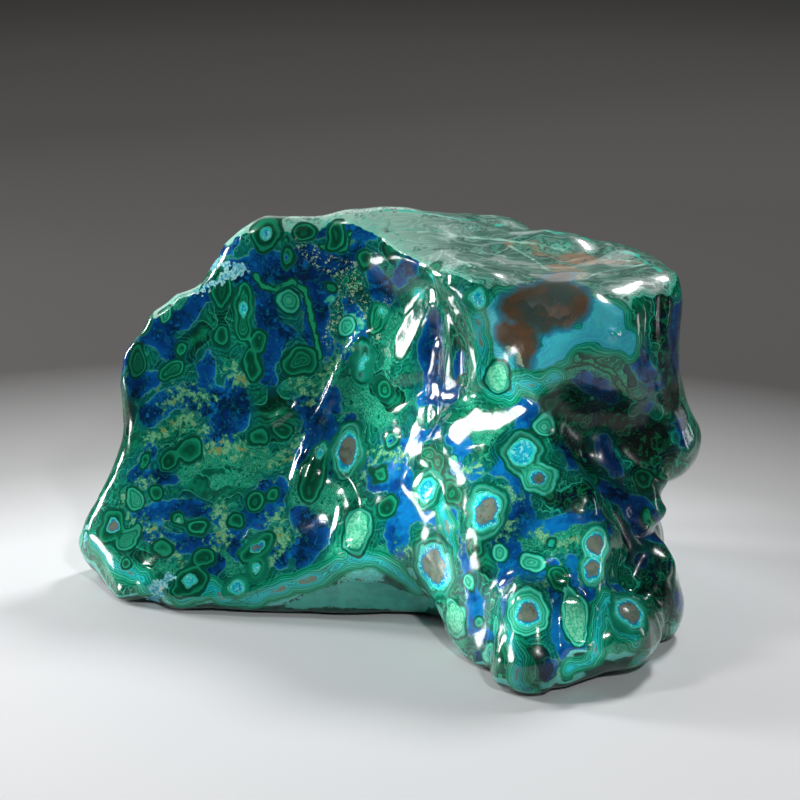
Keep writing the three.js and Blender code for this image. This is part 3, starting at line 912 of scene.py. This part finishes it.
# %% [markdown]
# ## Tools for mixing the paint
# The look of the stone is built up the way a painter of faux marble works: a ground first, then one
# mineral laid over another, each through a mask. These few helpers keep every layer to a line or
# two. lay() puts a colour over another by a share between 0 and 1. mask() makes such a share, which
# is 1 where its value has reached the first number and 0 where it has reached the second. both() is
# the overlap of two shares and outside() is the rest of one. bent() bends a border by adding grain
# to its distance, off_line() is how far a value lies from a line, and waves() makes stripes of it.

# %% Paint tools
def tint(code):
    parts = [int(code[i:i + 2], 16) / 255.0 for i in (0, 2, 4)]
    return tuple(c / 12.92 if c <= 0.04045 else ((c + 0.055) / 1.055) ** 2.4 for c in parts) + (1.0,)


def open_material(name):
    global nodes, links
    made = bpy.data.materials.new(name)
    made.use_nodes = True
    nodes, links = made.node_tree.nodes, made.node_tree.links
    nodes.clear()
    return made


def node(kind, inputs, **settings):
    made = nodes.new(kind)
    for name, value in settings.items():
        setattr(made, name, value)
    for name, value in inputs.items():
        if isinstance(value, bpy.types.NodeSocket):
            links.new(value, made.inputs[name])
        else:
            made.inputs[name].default_value = value
    return made


def calc(work, a, b=0.0):
    return node("ShaderNodeMath", {0: a, 1: b}, operation=work).outputs[0]


def mask(value, full, none):
    sums = {"Value": value, "From Min": none, "From Max": full, "To Min": 0.0, "To Max": 1.0}
    return node("ShaderNodeMapRange", sums, interpolation_type="SMOOTHSTEP").outputs[0]


def both(a, b):
    return calc("MULTIPLY", a, b)


def outside(value):
    return calc("SUBTRACT", 1.0, value)


def bent(value, *grains):
    for bend, amount in grains:
        value = calc("ADD", value, both(bend, amount))
    return value


def off_line(value, at):
    return calc("ABSOLUTE", calc("SUBTRACT", value, at))


def waves(value, often, *grains):
    return calc("SINE", bent(both(value, often), *grains))


def distance(name, *grains):
    return bent(node("ShaderNodeAttribute", {}, attribute_name=name).outputs["Fac"], *grains)


def ramp(value, low, high, stops):
    share = node("ShaderNodeMapRange", {"Value": value, "From Min": low, "From Max": high}).outputs[0]
    made = node("ShaderNodeValToRGB", {"Fac": share})
    band = made.color_ramp
    while len(band.elements) < len(stops):
        band.elements.new(0.5)
    for element, (at, code) in zip(band.elements, stops):
        element.position = (at - low) / (high - low)
        element.color = tint(code)
    return made.outputs[0]


def lay(under, share, over):
    under, over = (tint(value) if isinstance(value, str) else value for value in (under, over))
    return node("ShaderNodeMix", {0: share, 6: under, 7: over}, data_type="RGBA").outputs[2]


print("white is", tint("ffffff"))

# %% [markdown]
# ## Grain
# Nothing in the stone has a smooth border, so every border is bent by noise of some size. A name
# such as fine or coarse is one of these noises, between minus a half and a half. The sizes are in
# millimetres, and the seed sets one noise apart from another.

# %% Grain
polished = open_material("polished azurite malachite")
place_on_stone = node("ShaderNodeTexCoord", {}).outputs["Object"]


def grain(size, seed, detail=2.0, stretch=(1.0, 1.0, 1.0), turn=(0.0, 0.0, 0.0)):
    laid_out = {"Vector": place_on_stone, "Scale": stretch, "Rotation": turn}
    spot = node("ShaderNodeMapping", laid_out).outputs[0]
    sums = {"Vector": spot, "W": seed, "Scale": 1.0 / (size * MM), "Detail": detail}
    return calc("SUBTRACT", node("ShaderNodeTexNoise", sums, noise_dimensions="4D").outputs[0], 0.5)


coarse, swell, middling = grain(9.0, 1.0), grain(5.0, 5.5, 0.0), grain(2.6, 2.0, 1.0)
fine, dust = grain(0.9, 3.0), grain(0.35, 4.0)
print("five sizes of grain are made of", len(nodes), "nodes")

# %% [markdown]
# ## The malachite ground
# Malachite that has no eye near it still shows its skins, as contour lines wandering like those on
# a map. A soft noise gives the heights of that map, and the ramp gives each height its green.

# %% Ground
heights = bent(grain(15.0, 5.0, 1.0), (middling, 0.16), (fine, 0.06))
paint = ramp(heights, -0.25, 0.25, [
    (-0.24, "033a2b"), (-0.17, "07664b"), (-0.155, "2bbd90"), (-0.145, "05503a"), (-0.11, "065a44"),
    (-0.07, "0f9168"), (-0.062, "04382a"), (-0.05, "0a7654"), (-0.01, "055340"), (0.0, "3cc6a0"),
    (0.008, "04453a"), (0.05, "0a7c5c"), (0.058, "033628"), (0.07, "21ab8a"), (0.10, "055a48"),
    (0.13, "13966f"), (0.14, "04463a"), (0.17, "0a7866"), (0.20, "065a5c"), (0.24, "0e8684"),
])
mottle = mask(bent(fine, (dust, 0.5)), 0.14, -0.12)
paint = lay(paint, both(mottle, 0.35), "023a2a")
print("nodes with the ground laid:", len(nodes))

# %% [markdown]
# ## Mint beds and dark masses
# The mint beds are soft edged and cloudy. The dark masses are hard edged, and a hair of pale green
# runs round them, the last skin that grew.

# %% Beds and masses
mint = distance("mint", (swell, 5.0), (middling, 3.0), (fine, 2.5))
cloud = mask(bent(middling, (fine, 0.8)), 0.16, -0.16)
bed = lay("1c9f79", cloud, "0a7355")
bed = lay(bed, both(mask(bent(dust, (fine, 0.6)), 0.14, 0.0), 0.65), "5acca5")
bed = lay(bed, mask(bent(middling, (fine, 1.0)), -0.28, -0.14), "04503a")
in_mint = mask(mint, -0.8, 0.6)
paint = lay(paint, both(in_mint, 0.9), bed)
mass = distance("mass", (swell, 4.0), (middling, 1.5), (fine, 0.3))
paint = lay(paint, mask(mass, 0.25, 0.5), "2aa37c")
solid_green = ramp(bent(mass, (coarse, 4.0)), -6.0, 0.3, [
    (-6.0, "0c7550"), (-4.4, "064a33"), (-3.2, "0f8a60"), (-2.2, "08603f"), (-1.2, "033222"),
    (-0.2, "022a1d"), (0.2, "04402e"),
])
paint = lay(paint, mask(mass, -0.1, 0.2), lay(solid_green, both(cloud, 0.4), "033a28"))
print("nodes with the beds and masses laid:", len(nodes))

# %% [markdown]
# ## The dark hollow
# The hollow is nearly black, partly its own dark malachite and partly painted shade, with small round
# berries of green in it and two thin contour lines round its border. The berries are one soft noise
# cut at two heights, so each has a dark middle.

# %% Hollow
hollow = distance("hollow", (swell, 6.0), (coarse, 8.0), (middling, 1.5), (fine, 0.4))
in_hollow = mask(hollow, -0.6, 0.3)
pit = lay("022015", mask(coarse, 0.1, -0.02), "04143a")
pit = lay(pit, mask(bent(grain(6.0, 21.0, 2.0), (middling, 0.3)), 0.12, 0.0), "0a5a3c")
berries = bent(grain(2.6, 6.0, 0.6), (coarse, 0.4))
pit = lay(pit, mask(berries, 0.15, 0.1), "129463")
pit = lay(pit, mask(berries, 0.22, 0.18), "033a27")
pit = lay(pit, mask(bent(fine, (middling, 0.5)), 0.2, 0.1), "15a06c")
# partly painted shade: the near black laid over the hollow
paint = lay(paint, both(in_hollow, 0.92), pit)
paint = lay(paint, mask(off_line(hollow, 0.9), 0.08, 0.3), "27b394")
paint = lay(paint, mask(off_line(hollow, 0.4), 0.05, 0.25), "03281e")
print("nodes with the hollow laid:", len(nodes))

# %% [markdown]
# ## Azurite
# Azurite is nearly black blue where it is thick and bright cobalt at its thin borders. A line of
# olive and a dark halo follow it where it meets the malachite, and where the lamps light the stone
# most, the blue is painted brighter in patches, a painted light.

# %% Azurite
BLUE_SPREAD = 0.9
azure = calc("SUBTRACT", distance("azurite"), BLUE_SPREAD)
azure = bent(azure, (swell, 3.4), (middling, 2.4), (fine, 1.2), (dust, 0.4))
blue = ramp(azure, -5.0, 0.2, [
    (-5.0, "022c62"), (-2.6, "04407e"), (-1.0, "044c8c"), (-0.35, "065c9c"), (-0.1, "0a7cb0"),
])
blue = lay(blue, mask(bent(coarse, (middling, 0.7)), 0.12, -0.09), "012546")
blue = lay(blue, both(mask(bent(middling, (fine, 0.6)), 0.24, 0.06), 0.7), "0a70b4")
halo_strength = calc("SUBTRACT", 0.75, both(in_mint, 0.55))
paint = lay(paint, both(mask(azure, 0.0, 3.6), halo_strength), "055662")
paint = lay(paint, both(mask(azure, 0.35, 0.6), mask(coarse, -0.1, 0.1)), "12907c")
paint = lay(paint, both(mask(azure, 0.1, 0.3), both(mask(coarse, -0.02, 0.08), 0.8)), "5f8a58")
# painted light: patches of brighter blue where the lamps light the stone most
sunlit = mask(distance("sunny"), -3.0, 6.0)
lit_patches = both(mask(bent(coarse, (middling, 0.6)), 0.1, -0.12), 0.75)
paint = lay(paint, mask(azure, -0.05, 0.1), lay(blue, both(sunlit, lit_patches), "0a78bc"))
print("nodes with the azurite laid:", len(nodes))

# %% [markdown]
# ## Threads, lace and specks
# Hair threads run through everything but the hollow. The lace is a sponge of lime green, left where
# the border between the two minerals was too ragged to follow, and the specks are lime as well.

# %% Threads, lace and specks
threads = mask(calc("ABSOLUTE", bent(grain(4.0, 13.0, 2.0), (fine, 0.12))), 0.004, 0.016)
paint = lay(paint, both(both(threads, 0.25), outside(in_hollow)), "17977f")
lace = bent(both(distance("lime"), 0.55), (grain(1.7, 8.0, 5.0), 11.0), (fine, 3.0))
paint = lay(paint, both(mask(lace, -0.1, 0.5), 0.5), "2f8f6a")
lime = lay("3f9a74", mask(bent(dust, (fine, 0.5)), 0.1, -0.1), "7db887")
lime = lay(lime, mask(bent(middling, (fine, 0.4)), 0.18, 0.06), "7f8f4e")
paint = lay(paint, mask(lace, -0.9, -0.6), lime)
scattered = mask(bent(fine, (dust, 0.8), (middling, 0.5)), 0.13, 0.08)
paint = lay(paint, both(mask(distance("speck"), -0.6, 1.0), scattered), "9cc4a2")
thread = distance("thread", (middling, 1.6), (fine, 0.5))
paint = lay(paint, mask(thread, 0.5, 0.9), "064a36")
paint = lay(paint, mask(thread, 0.05, 0.2), "1a9a6c")
print("nodes with the lace laid:", len(nodes))

# %% [markdown]
# ## The silky top
# The top is a paler skin of silky malachite. Its fibres all run one way, so the two noises for it
# are stretched along the stone and turned a little, and waves drawn from them make the streaks.

# %% Top
silk = grain(5.0, 11.0, 6.0, (0.45, 1.5, 1.5), (0.0, 0.0, 0.35))
flow = grain(16.0, 12.0, 2.0, (0.5, 1.3, 1.3), (0.0, 0.0, 0.25))
top = distance("top", (middling, 6.0), (coarse, 7.0))
sheet = lay("2f6757", mask(silk, 0.14, -0.14), "6c9f8f")
streaks = mask(waves(flow, 70.0, (silk, 9.0)), 0.1, 0.95)
sheet = lay(sheet, both(streaks, 0.55), "235f4f")
silver = mask(waves(flow, 100.0, (silk, 12.0)), 1.0, 0.5)
sheet = lay(sheet, both(silver, 0.45), "a9cdbf")
across_top = node("ShaderNodeSeparateXYZ", {0: place_on_stone}).outputs[0]
sheet = lay(sheet, both(mask(across_top, 0.0, 0.03), 0.6), "b0dbca")
sheet = lay(sheet, both(mask(across_top, 0.07, 0.01), 0.25), "1f5c4e")
rosy = distance("rosy", (swell, 5.0), (middling, 2.0), (fine, 0.5))
rosy_stone = lay("94785f", mask(bent(coarse, (silk, 0.6)), 0.14, -0.04), "6f8c78")
sheet = lay(sheet, both(mask(rosy, -0.6, 1.4), 0.85), rosy_stone)
soot_patches = mask(bent(coarse, (middling, 0.8), (silk, 0.5)), 0.12, -0.08)
sooty = both(mask(bent(fine, (dust, 0.8)), 0.1, -0.1), soot_patches)
sheet = lay(sheet, both(sooty, 0.85), "16392f")
edge_lines = both(mask(waves(top, 4.0, (coarse, 6.0)), 0.2, 0.9), mask(top, -1.5, -5.0))
sheet = lay(sheet, both(edge_lines, 0.6), "6fdcc0")
sheet = lay(sheet, both(mask(distance("crease", (middling, 1.0)), 0.0, 0.6), 0.75), "a9e2cd")
sheet = lay(sheet, mask(distance("far rim", (middling, 2.4)), 0.1, 0.6), "2fbfa6")
paint = lay(paint, mask(calc("ABSOLUTE", top), 0.2, 0.6), "2fb79a")
paint = lay(paint, mask(top, -0.4, 0.2), sheet)
print("nodes with the top laid:", len(nodes))

# %% [markdown]
# ## The pool and the brown window
# The brown window sits in a pool of turquoise. Seen from the window outwards, the pool goes from
# sky blue through a few cobalt hairs to the greens of the stone round it. Its inner part is painted
# paler, a painted sheen.

# %% Pool and window
pool = distance("pool", (swell, 4.0), (middling, 1.2), (fine, 0.3))
water = ramp(pool, -4.0, 3.6, [
    (-4.0, "1f9fb4"), (-2.0, "17a6b8"), (-1.2, "0f86b4"), (-0.9, "1cb0bf"), (-0.2, "0b7ab2"),
    (0.1, "12b5b0"), (0.5, "0a5b62"), (0.7, "1aa890"), (1.3, "0c7f63"), (1.5, "35bd9c"),
    (2.0, "0a6a50"), (2.3, "1f9f7c"), (3.0, "0a6048"),
])
# painted sheen: the inner part of the pool is made paler
water = lay(water, both(mask(pool, -0.2, 0.6), 0.28), "6fe4ea")
paint = lay(paint, mask(pool, 3.0, 3.6), water)
paint = lay(paint, both(mask(pool, -1.0, 1.0), mask(fine, 0.16, 0.02)), "3cc7cb")
window = distance("window", (swell, 2.4), (middling, 2.0), (fine, 0.4))
earth_clouds = bent(grain(14.0, 9.0, 1.0), (middling, 0.2), (fine, 0.1))
earth = lay("54402c", mask(earth_clouds, 0.12, -0.1), "35443f")
earth = lay(earth, both(mask(grain(7.0, 14.0, 2.0, (1.0, 1.0, 2.0)), 0.24, -0.04), 0.6), "65452b")
earth = lay(earth, both(mask(dust, 0.16, 0.0), 0.25), "55615a")
pale_grains = distance("pale grain", (middling, 3.0), (fine, 1.5))
earth = lay(earth, mask(pale_grains, -0.2, 0.3), "9aa88a")
paint = lay(paint, both(mask(window, 0.2, 1.6), 0.7), "0a5f7e")
paint = lay(paint, mask(window, -2.0, 0.9), earth)
print("nodes with the window laid:", len(nodes))

# %% [markdown]
# ## The hem, the skirt and the plain facet
# Where the stone begins to lean in near the table runs a hem of bright thin skins. Under it the
# stone is a dark plain green, partly painted shade under the overhang, but for the facet under the
# left half, which is a paler grey green, painted brighter to make up for the shade it stands in,
# with a thin dark line round it.

# %% Hem, skirt and plain facet
skirt = distance("skirt", (middling, 3.0), (coarse, 3.0))
# painted light: the plain facet's grey green is painted brighter to make up for the shade it stands in
plain = lay("49a698", mask(bent(coarse, (middling, 0.5)), 0.12, -0.12), "3d9488")
plain = lay(plain, both(mask(bent(silk, (dust, 0.5)), 0.2, 0.0), 0.5), "56a899")
hem = ramp(skirt, -2.4, 1.2, [
    (-2.4, "1f6256"), (-1.9, "5f7a68"), (-1.6, "2aa6a6"), (-1.2, "2f8f80"), (-0.8, "35b6b4"),
    (-0.5, "2c8470"), (-0.1, "4ac0b0"), (0.2, "1d8a6c"), (0.7, "45b692"), (0.9, "12805e"),
])
hem = lay(hem, both(mask(fine, 0.16, 0.04), 0.6), "46c3cc")
hem = lay(hem, 0.3, "8fe6da")
paint = lay(paint, mask(skirt, 0.6, 1.2), hem)
facet = distance("plain facet", (swell, 2.0), (middling, 1.6), (fine, 0.6))
paint = lay(paint, both(mask(facet, 0.6, 1.4), mask(fine, 0.05, -0.05)), "1f4a48")
# partly painted shade: the skirt under the overhang is painted a dark plain green
paint = lay(paint, mask(skirt, -3.0, -2.0), lay("1c5548", cloud, "123f37"))
paint = lay(paint, mask(facet, -0.3, 0.4), plain)
print("nodes with the skirt laid:", len(nodes))

# %% [markdown]
# ## Folded bands
# Where the stone grew along a wall instead of round a point its skins run side by side, turning
# together at every bend. They are brighter than the rest because chrysocolla coloured them.

# %% Folds
fold = distance("fold", (swell, 3.0), (middling, 1.0), (fine, 0.2))
bands = ramp(fold, 0.0, 4.6, [
    (0.0, "6a8a74"), (0.25, "1cc3c6"), (0.6, "0f8f92"), (0.85, "2fd2ca"), (1.15, "0a7b6a"),
    (1.4, "22bca6"), (1.8, "0a6e58"), (2.05, "3accb4"), (2.4, "0c7f5e"), (2.8, "17a57c"),
    (3.2, "066048"), (3.6, "109a74"), (4.4, "05503c"),
])
bands = lay(bands, both(mask(fold, 0.2, 0.7), mask(coarse, 0.08, 0.0)), "1cc3c6")
paint = lay(paint, mask(fold, 3.4, 4.4), bands)
print("nodes with the folds laid:", len(nodes))

# %% [markdown]
# ## The skins of an eye
# Reading from outside: a dark green halo with a hair of turquoise round it, a bright rim, then the
# skins, dark and light by turns and never evenly spaced. Each eye's own turn of the dice says how
# wide its skins are and which of the two ramps, the dark one or the light one, colours it.

# %% Skins
rim = distance("eye", (swell, 3.4), (middling, 1.2), (fine, 0.15))
turn = distance("eye turn")
spread = calc("ADD", bent(both(turn, 0.6), (coarse, 2.2)), 0.5)
ring = calc("MAXIMUM", rim, both(rim, spread))
skins = ramp(ring, -6.4, 1.5, [
    (-6.4, "0e8a62"), (-5.4, "077050"), (-4.9, "16a074"), (-4.7, "05573f"), (-4.2, "077a55"),
    (-3.7, "1cab7e"), (-3.5, "066247"), (-3.1, "077a55"), (-2.6, "20ae82"), (-2.4, "066046"),
    (-1.9, "0a8a60"), (-1.6, "22b386"), (-1.35, "076c4c"), (-1.0, "044f37"), (-0.7, "077050"),
    (-0.35, "12996c"), (-0.1, "1fb083"), (0.05, "0f8f67"), (0.2, "034631"), (0.45, "044b38"),
    (0.9, "08604b"), (1.08, "127f6c"), (1.2, "1a9484"), (1.35, "075f5f"),
])
light_skins = ramp(ring, -6.4, 0.3, [
    (-6.4, "3fb394"), (-5.0, "23a283"), (-4.6, "5cc9a8"), (-4.2, "1c9a78"), (-3.4, "46bb98"),
    (-3.0, "1a9474"), (-2.4, "52c6a4"), (-2.0, "159070"), (-1.5, "3bbd98"), (-1.1, "0f8464"),
    (-0.75, "2aae8a"), (-0.45, "5fd0b4"), (-0.15, "1fb89c"), (0.1, "0b7a5e"),
])
in_rim = mask(ring, 0.05, 0.25)
light = distance("light eye", (swell, 3.4), (middling, 1.2))
skins = lay(skins, both(mask(light, 0.0, 0.25), in_rim), light_skins)
hairs = mask(waves(ring, 17.0, (coarse, 12.0)), 0.2, 1.0)
skins = lay(skins, both(both(hairs, mask(ring, -0.4, -0.1)), 0.22), "034a35")
sky = distance("sky heart", (swell, 3.0), (middling, 2.0), (fine, 0.5))
skins = lay(skins, both(both(mask(sky, 1.0, 3.4), mask(ring, 0.1, 0.0)), 0.6), "22b890")
skins = lay(skins, both(mask(coarse, 0.0, 0.2), 0.45), "03402c")
skins = lay(skins, both(both(mask(turn, 0.2, 0.32), mask(ring, -0.6, -0.2)), 0.6), "02402c")
skins = lay(skins, both(mask(turn, 0.8, 0.68), in_rim), light_skins)
print("nodes with the skins mixed:", len(nodes))

# %% [markdown]
# ## Echoes round the eyes
# Past its halo an eye still bends the skins of the ground, so faint rings follow it outwards and
# fade. They stop at the azurite, which grew after them, and at the silky top. Then the eye itself
# is laid.

# %% Echoes
echo = waves(rim, 5.5, (coarse, 10.0), (middling, 4.0))
clear_of_blue = mask(bent(azure, (coarse, 9.0)), 1.6, -0.6)
near_eye = both(both(mask(rim, 1.8, 6.0), mask(top, 1.5, 0.0)), clear_of_blue)
paint = lay(paint, both(both(mask(echo, 1.0, 0.2), near_eye), 0.36), "14957a")
paint = lay(paint, both(both(mask(echo, -1.0, -0.3), near_eye), 0.45), "02332c")
paint = lay(paint, mask(bent(ring, (turn, 0.7)), 0.95, 1.5), skins)
print("nodes with the eyes laid:", len(nodes))

# %% [markdown]
# ## Hearts
# The hearts come last, each inside a thin rim of its own. A sky heart has skins too, and a brown
# one lies inside a sky one, as the last of the rock that the chrysocolla was eating.

# %% Hearts
pale = distance("pale heart", (middling, 2.4), (fine, 0.8))
paint = lay(paint, mask(pale, 0.05, 0.2), "0a7b5c")
pale_stone = lay("3aa982", mask(bent(fine, (dust, 0.6)), 0.1, -0.1), "6fc7a2")
paint = lay(paint, mask(pale, -0.2, 0.0), pale_stone)
deep = distance("blue heart", (middling, 2.0), (fine, 0.8))
paint = lay(paint, mask(deep, 0.0, 0.2), "1a9a9a")
paint = lay(paint, mask(deep, -0.3, -0.1), "0a3f93")
lagoon = ramp(sky, -3.0, 0.5, [
    (-3.0, "1b9fc0"), (-1.9, "16aebb"), (-1.3, "0a86b0"), (-1.0, "14b4b9"), (-0.45, "27c6bd"),
    (-0.1, "3ccfc4"), (0.1, "0f8f7a"), (0.3, "55cfae"), (0.42, "0c7a5c"),
])
sparkle = both(mask(bent(fine, (dust, 0.7)), 0.16, 0.02), mask(sky, -0.2, 0.1))
lagoon = lay(lagoon, sparkle, "7fe0dc")
paint = lay(paint, mask(sky, 0.3, 0.5), lagoon)
brown = distance("brown heart", (swell, 2.4), (middling, 2.4), (fine, 0.8))
core = lay("6a7466", mask(bent(middling, (fine, 0.5)), 0.1, -0.1), "4f6a5f")
core = lay(core, mask(bent(fine, (middling, 0.4)), 0.2, 0.1), "6b4a36")
paint = lay(paint, mask(brown, 0.25, 0.5), "0d7aa8")
paint = lay(paint, mask(brown, -0.1, 0.15), core)
print("nodes with the hearts laid:", len(nodes))

# %% [markdown]
# ## Bruises, painted light and painted shade
# A bruise is chalky turquoise. Then the whole paint is made brighter where the lamps light it most,
# a painted light, and darker in the hollow and in shade, a painted shade, by one multiplying shade.

# %% Bruises and shade
HOLLOW_SHADE, PAINTED_LIGHT_GAIN, PAINTED_SHADE_DEPTH = 0.45, 0.95, 0.45
bruise = distance("bruise", (middling, 6.0), (fine, 3.0))
in_bruise = mask(bruise, -0.3, 0.2)
chalk = lay("8fd6d4", mask(bent(fine, (dust, 0.6)), 0.1, -0.08), "1f9fc0")
chalk = lay(chalk, mask(middling, 0.2, 0.1), "b9cfc6")
paint = lay(paint, in_bruise, chalk)
# painted light and painted shade: the whole paint is scaled brighter where lit, darker in the hollow
# and in shade
clear = both(sunlit, outside(in_hollow))
shade = calc("ADD", outside(both(in_hollow, HOLLOW_SHADE)), both(clear, PAINTED_LIGHT_GAIN))
painted_shade_share = mask(distance("shady", (swell, 5.0)), -3.0, 3.0)
shade = both(shade, outside(both(painted_shade_share, PAINTED_SHADE_DEPTH)))
paint = node("ShaderNodeVectorMath", {0: paint, "Scale": shade}, operation="SCALE").outputs[0]
print("nodes with the shade mixed:", len(nodes))

# %% [markdown]
# ## Polish and faint relief
# The stone has a lap polish. The stone under it scatters a little, and a clear coat stands for the
# last glassy film, which bruises, hollow and skirt lack. Azurite is softer than malachite, so the
# wheel leaves its fields a few hundredths of a millimetre low. Relief that small is a bump.

# %% Polish
RELIEF = 0.06 * MM
LAP_DULL, BRUISE_DULL, TOP_DULL, HOLLOW_DULL, DUST_DULL = 0.13, 0.4, 0.2, 0.12, 0.06
GLAZE, GLAZE_LOST = 0.4, 0.34
height = both(mask(azure, -0.3, 0.3), -0.4)
height = bent(height, (fine, 0.25), (middling, 0.9), (both(hairs, mask(ring, 0.5, 0.9)), 0.05))
height = bent(height, (both(in_bruise, bent(fine, (dust, 0.8))), 6.0))
relief = node("ShaderNodeBump", {"Strength": 1.0, "Distance": RELIEF, "Height": height})
on_top = mask(top, -0.4, 0.6)
dull = bent(both(in_bruise, BRUISE_DULL), (mask(dust, 0.2, 0.0), DUST_DULL))
dull = calc("ADD", bent(dull, (on_top, TOP_DULL), (in_hollow, HOLLOW_DULL)), LAP_DULL)
unglazed = calc("MAXIMUM", calc("MAXIMUM", in_hollow, in_bruise), mask(skirt, -2.0, 0.0))
glaze = calc("SUBTRACT", GLAZE, both(unglazed, GLAZE_LOST))
polish = node("ShaderNodeBsdfPrincipled", {
    "Base Color": paint, "Roughness": dull, "IOR": 1.42, "Coat Weight": glaze,
    "Coat Roughness": 0.05, "Coat IOR": 1.5, "Normal": relief.outputs[0],
})
node("ShaderNodeOutputMaterial", {"Surface": polish.outputs[0]})
stone_mesh.materials.clear()
stone_mesh.materials.append(polished)
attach(stone, "root")
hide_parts("azurite_malachite_stone")
print("paint nodes:", len(nodes))

# %% [markdown]
# ## The paper the stone stands on
# The stone stands on a sheet of pale paper that runs back and then curves up into the wall, so that
# no corner shows behind it. Its profile is a straight edge, a quarter turn made by spinning its
# last point, and a short upright, and the whole profile is then drawn out sideways.

# %% Paper sweep
SWEEP_FRONT, SWEEP_BACK, SWEEP_ROUND, SWEEP_HIGH = -4.0, 1.6, 0.8, 3.0
HALF_SWEEP = 4.0
UNDER_STONE = -0.2 * MM
TURN_STEPS = 48
bm = bmesh.new()
front = bm.verts.new((0.0, SWEEP_FRONT, UNDER_STONE))
start = bm.verts.new((0.0, SWEEP_BACK, UNDER_STONE))
bm.edges.new((front, start))
turn_centre = (0.0, SWEEP_BACK, SWEEP_ROUND)
bmesh.ops.spin(
    bm, geom=[start], angle=math.pi / 2, steps=TURN_STEPS, axis=RIGHT, cent=turn_centre)
rising = max(bm.verts, key=lambda v: v.co.z)
bm.edges.new((rising, bm.verts.new((0.0, rising.co.y, SWEEP_HIGH))))
profile = list(bm.edges)
bmesh.ops.translate(bm, vec=-HALF_SWEEP * RIGHT, verts=bm.verts)
swept = bmesh.ops.extrude_edge_only(bm, edges=profile)["geom"]
drawn_out = [v for v in swept if isinstance(v, bmesh.types.BMVert)]
bmesh.ops.translate(bm, vec=2.0 * HALF_SWEEP * RIGHT, verts=drawn_out)
bmesh.ops.recalc_face_normals(bm, faces=bm.faces)
sweep_mesh = bpy.data.meshes.new("paper sweep")
bm.to_mesh(sweep_mesh)
bm.free()
sweep_mesh.polygons.foreach_set("use_smooth", [True] * len(sweep_mesh.polygons))
sweep = bpy.data.objects.new("paper sweep", sweep_mesh)
scene.collection.objects.link(sweep)
print("faces in the paper:", len(sweep_mesh.polygons))

# %% [markdown]
# ## The paper's grey, a painted pool of light
# The paper's grey is a painted pool of light: palest under the stone and darker in every direction
# away from it, as under lamps that are kept close. The grey is laid in rings round one place, so it
# needs no edge. The same paint tools are used, pointed at a new material.

# %% Paper grey, a painted pool of light
PALEST_AT = (-0.02, -0.08, 0.0)
PAPER_TINTS = [
    (0.0, "e3e4e6"), (0.17, "e0e1e3"), (0.24, "a3a3a3"), (0.36, "434140"), (0.62, "535150"),
    (1.0, "7a7876"),
]
paper = open_material("paper with painted light")
place_on_paper = node("ShaderNodeTexCoord", {}).outputs["Object"]
from_palest = node("ShaderNodeVectorMath", {0: place_on_paper, 1: PALEST_AT}, operation="DISTANCE")
# painted light: the paper's grey is a pool of light painted round the stone
painted_light_grey = ramp(from_palest.outputs["Value"], 0.0, 1.0, PAPER_TINTS)
dull_paper = node("ShaderNodeBsdfPrincipled", {"Base Color": painted_light_grey, "Roughness": 0.6})
node("ShaderNodeOutputMaterial", {"Surface": dull_paper.outputs[0]})
sweep_mesh.materials.append(paper)
print("greys on the paper:", len(PAPER_TINTS))

# %% [markdown]
# ## Lamps
# Seven soft lamps light the stone. Those on the left and the right draw the bright bars on the
# flats that were cut to face them. The one overhead stands a little behind, which gives the top its
# sheen and leaves a shadow under the front edge, and the one in front lights the face. They are
# ellipses, because a lamp's outline shows in the polish and a corner there looks wrong.

# %% Lamps
SOFT_LAMPS = {
    # how wide, how high, how many watts, and the height over the table it is aimed at
    "left": (0.17, 0.25, 4.4, 0.06), "high": (0.13, 0.13, 1.3, 0.06), "low": (0.19, 0.15, 1.3, 0.06),
    "above": (0.18, 0.18, 3.9, 0.05), "right": (0.09, 0.33, 0.4, 0.06),
    "front": (0.12, 0.12, 5.0, 0.05), "behind": (0.7, 0.3, 0.7, 0.10),
}
ROOM_TINT = (0.04, 0.04, 0.045, 1.0)
ROOM_LIGHT = 0.6
for name, (wide, high, watts, aim) in SOFT_LAMPS.items():
    data = bpy.data.lights.new(name + " lamp", "AREA")
    data.shape = "ELLIPSE"
    data.size, data.size_y = wide, high
    data.energy = watts
    lamp = bpy.data.objects.new(name + " lamp", data)
    lamp.location = LAMPS[name]
    towards = Vector((0.0, 0.0, aim)) - Vector(LAMPS[name])
    lamp.rotation_euler = towards.to_track_quat("-Z", "Y").to_euler()
    scene.collection.objects.link(lamp)
room = bpy.data.worlds.new("room")
room.use_nodes = True
room_air = room.node_tree.nodes["Background"]
room_air.inputs["Color"].default_value = ROOM_TINT
room_air.inputs["Strength"].default_value = ROOM_LIGHT
scene.world = room
print("watts in all:", round(sum(watts for _, _, watts, _ in SOFT_LAMPS.values()), 1))
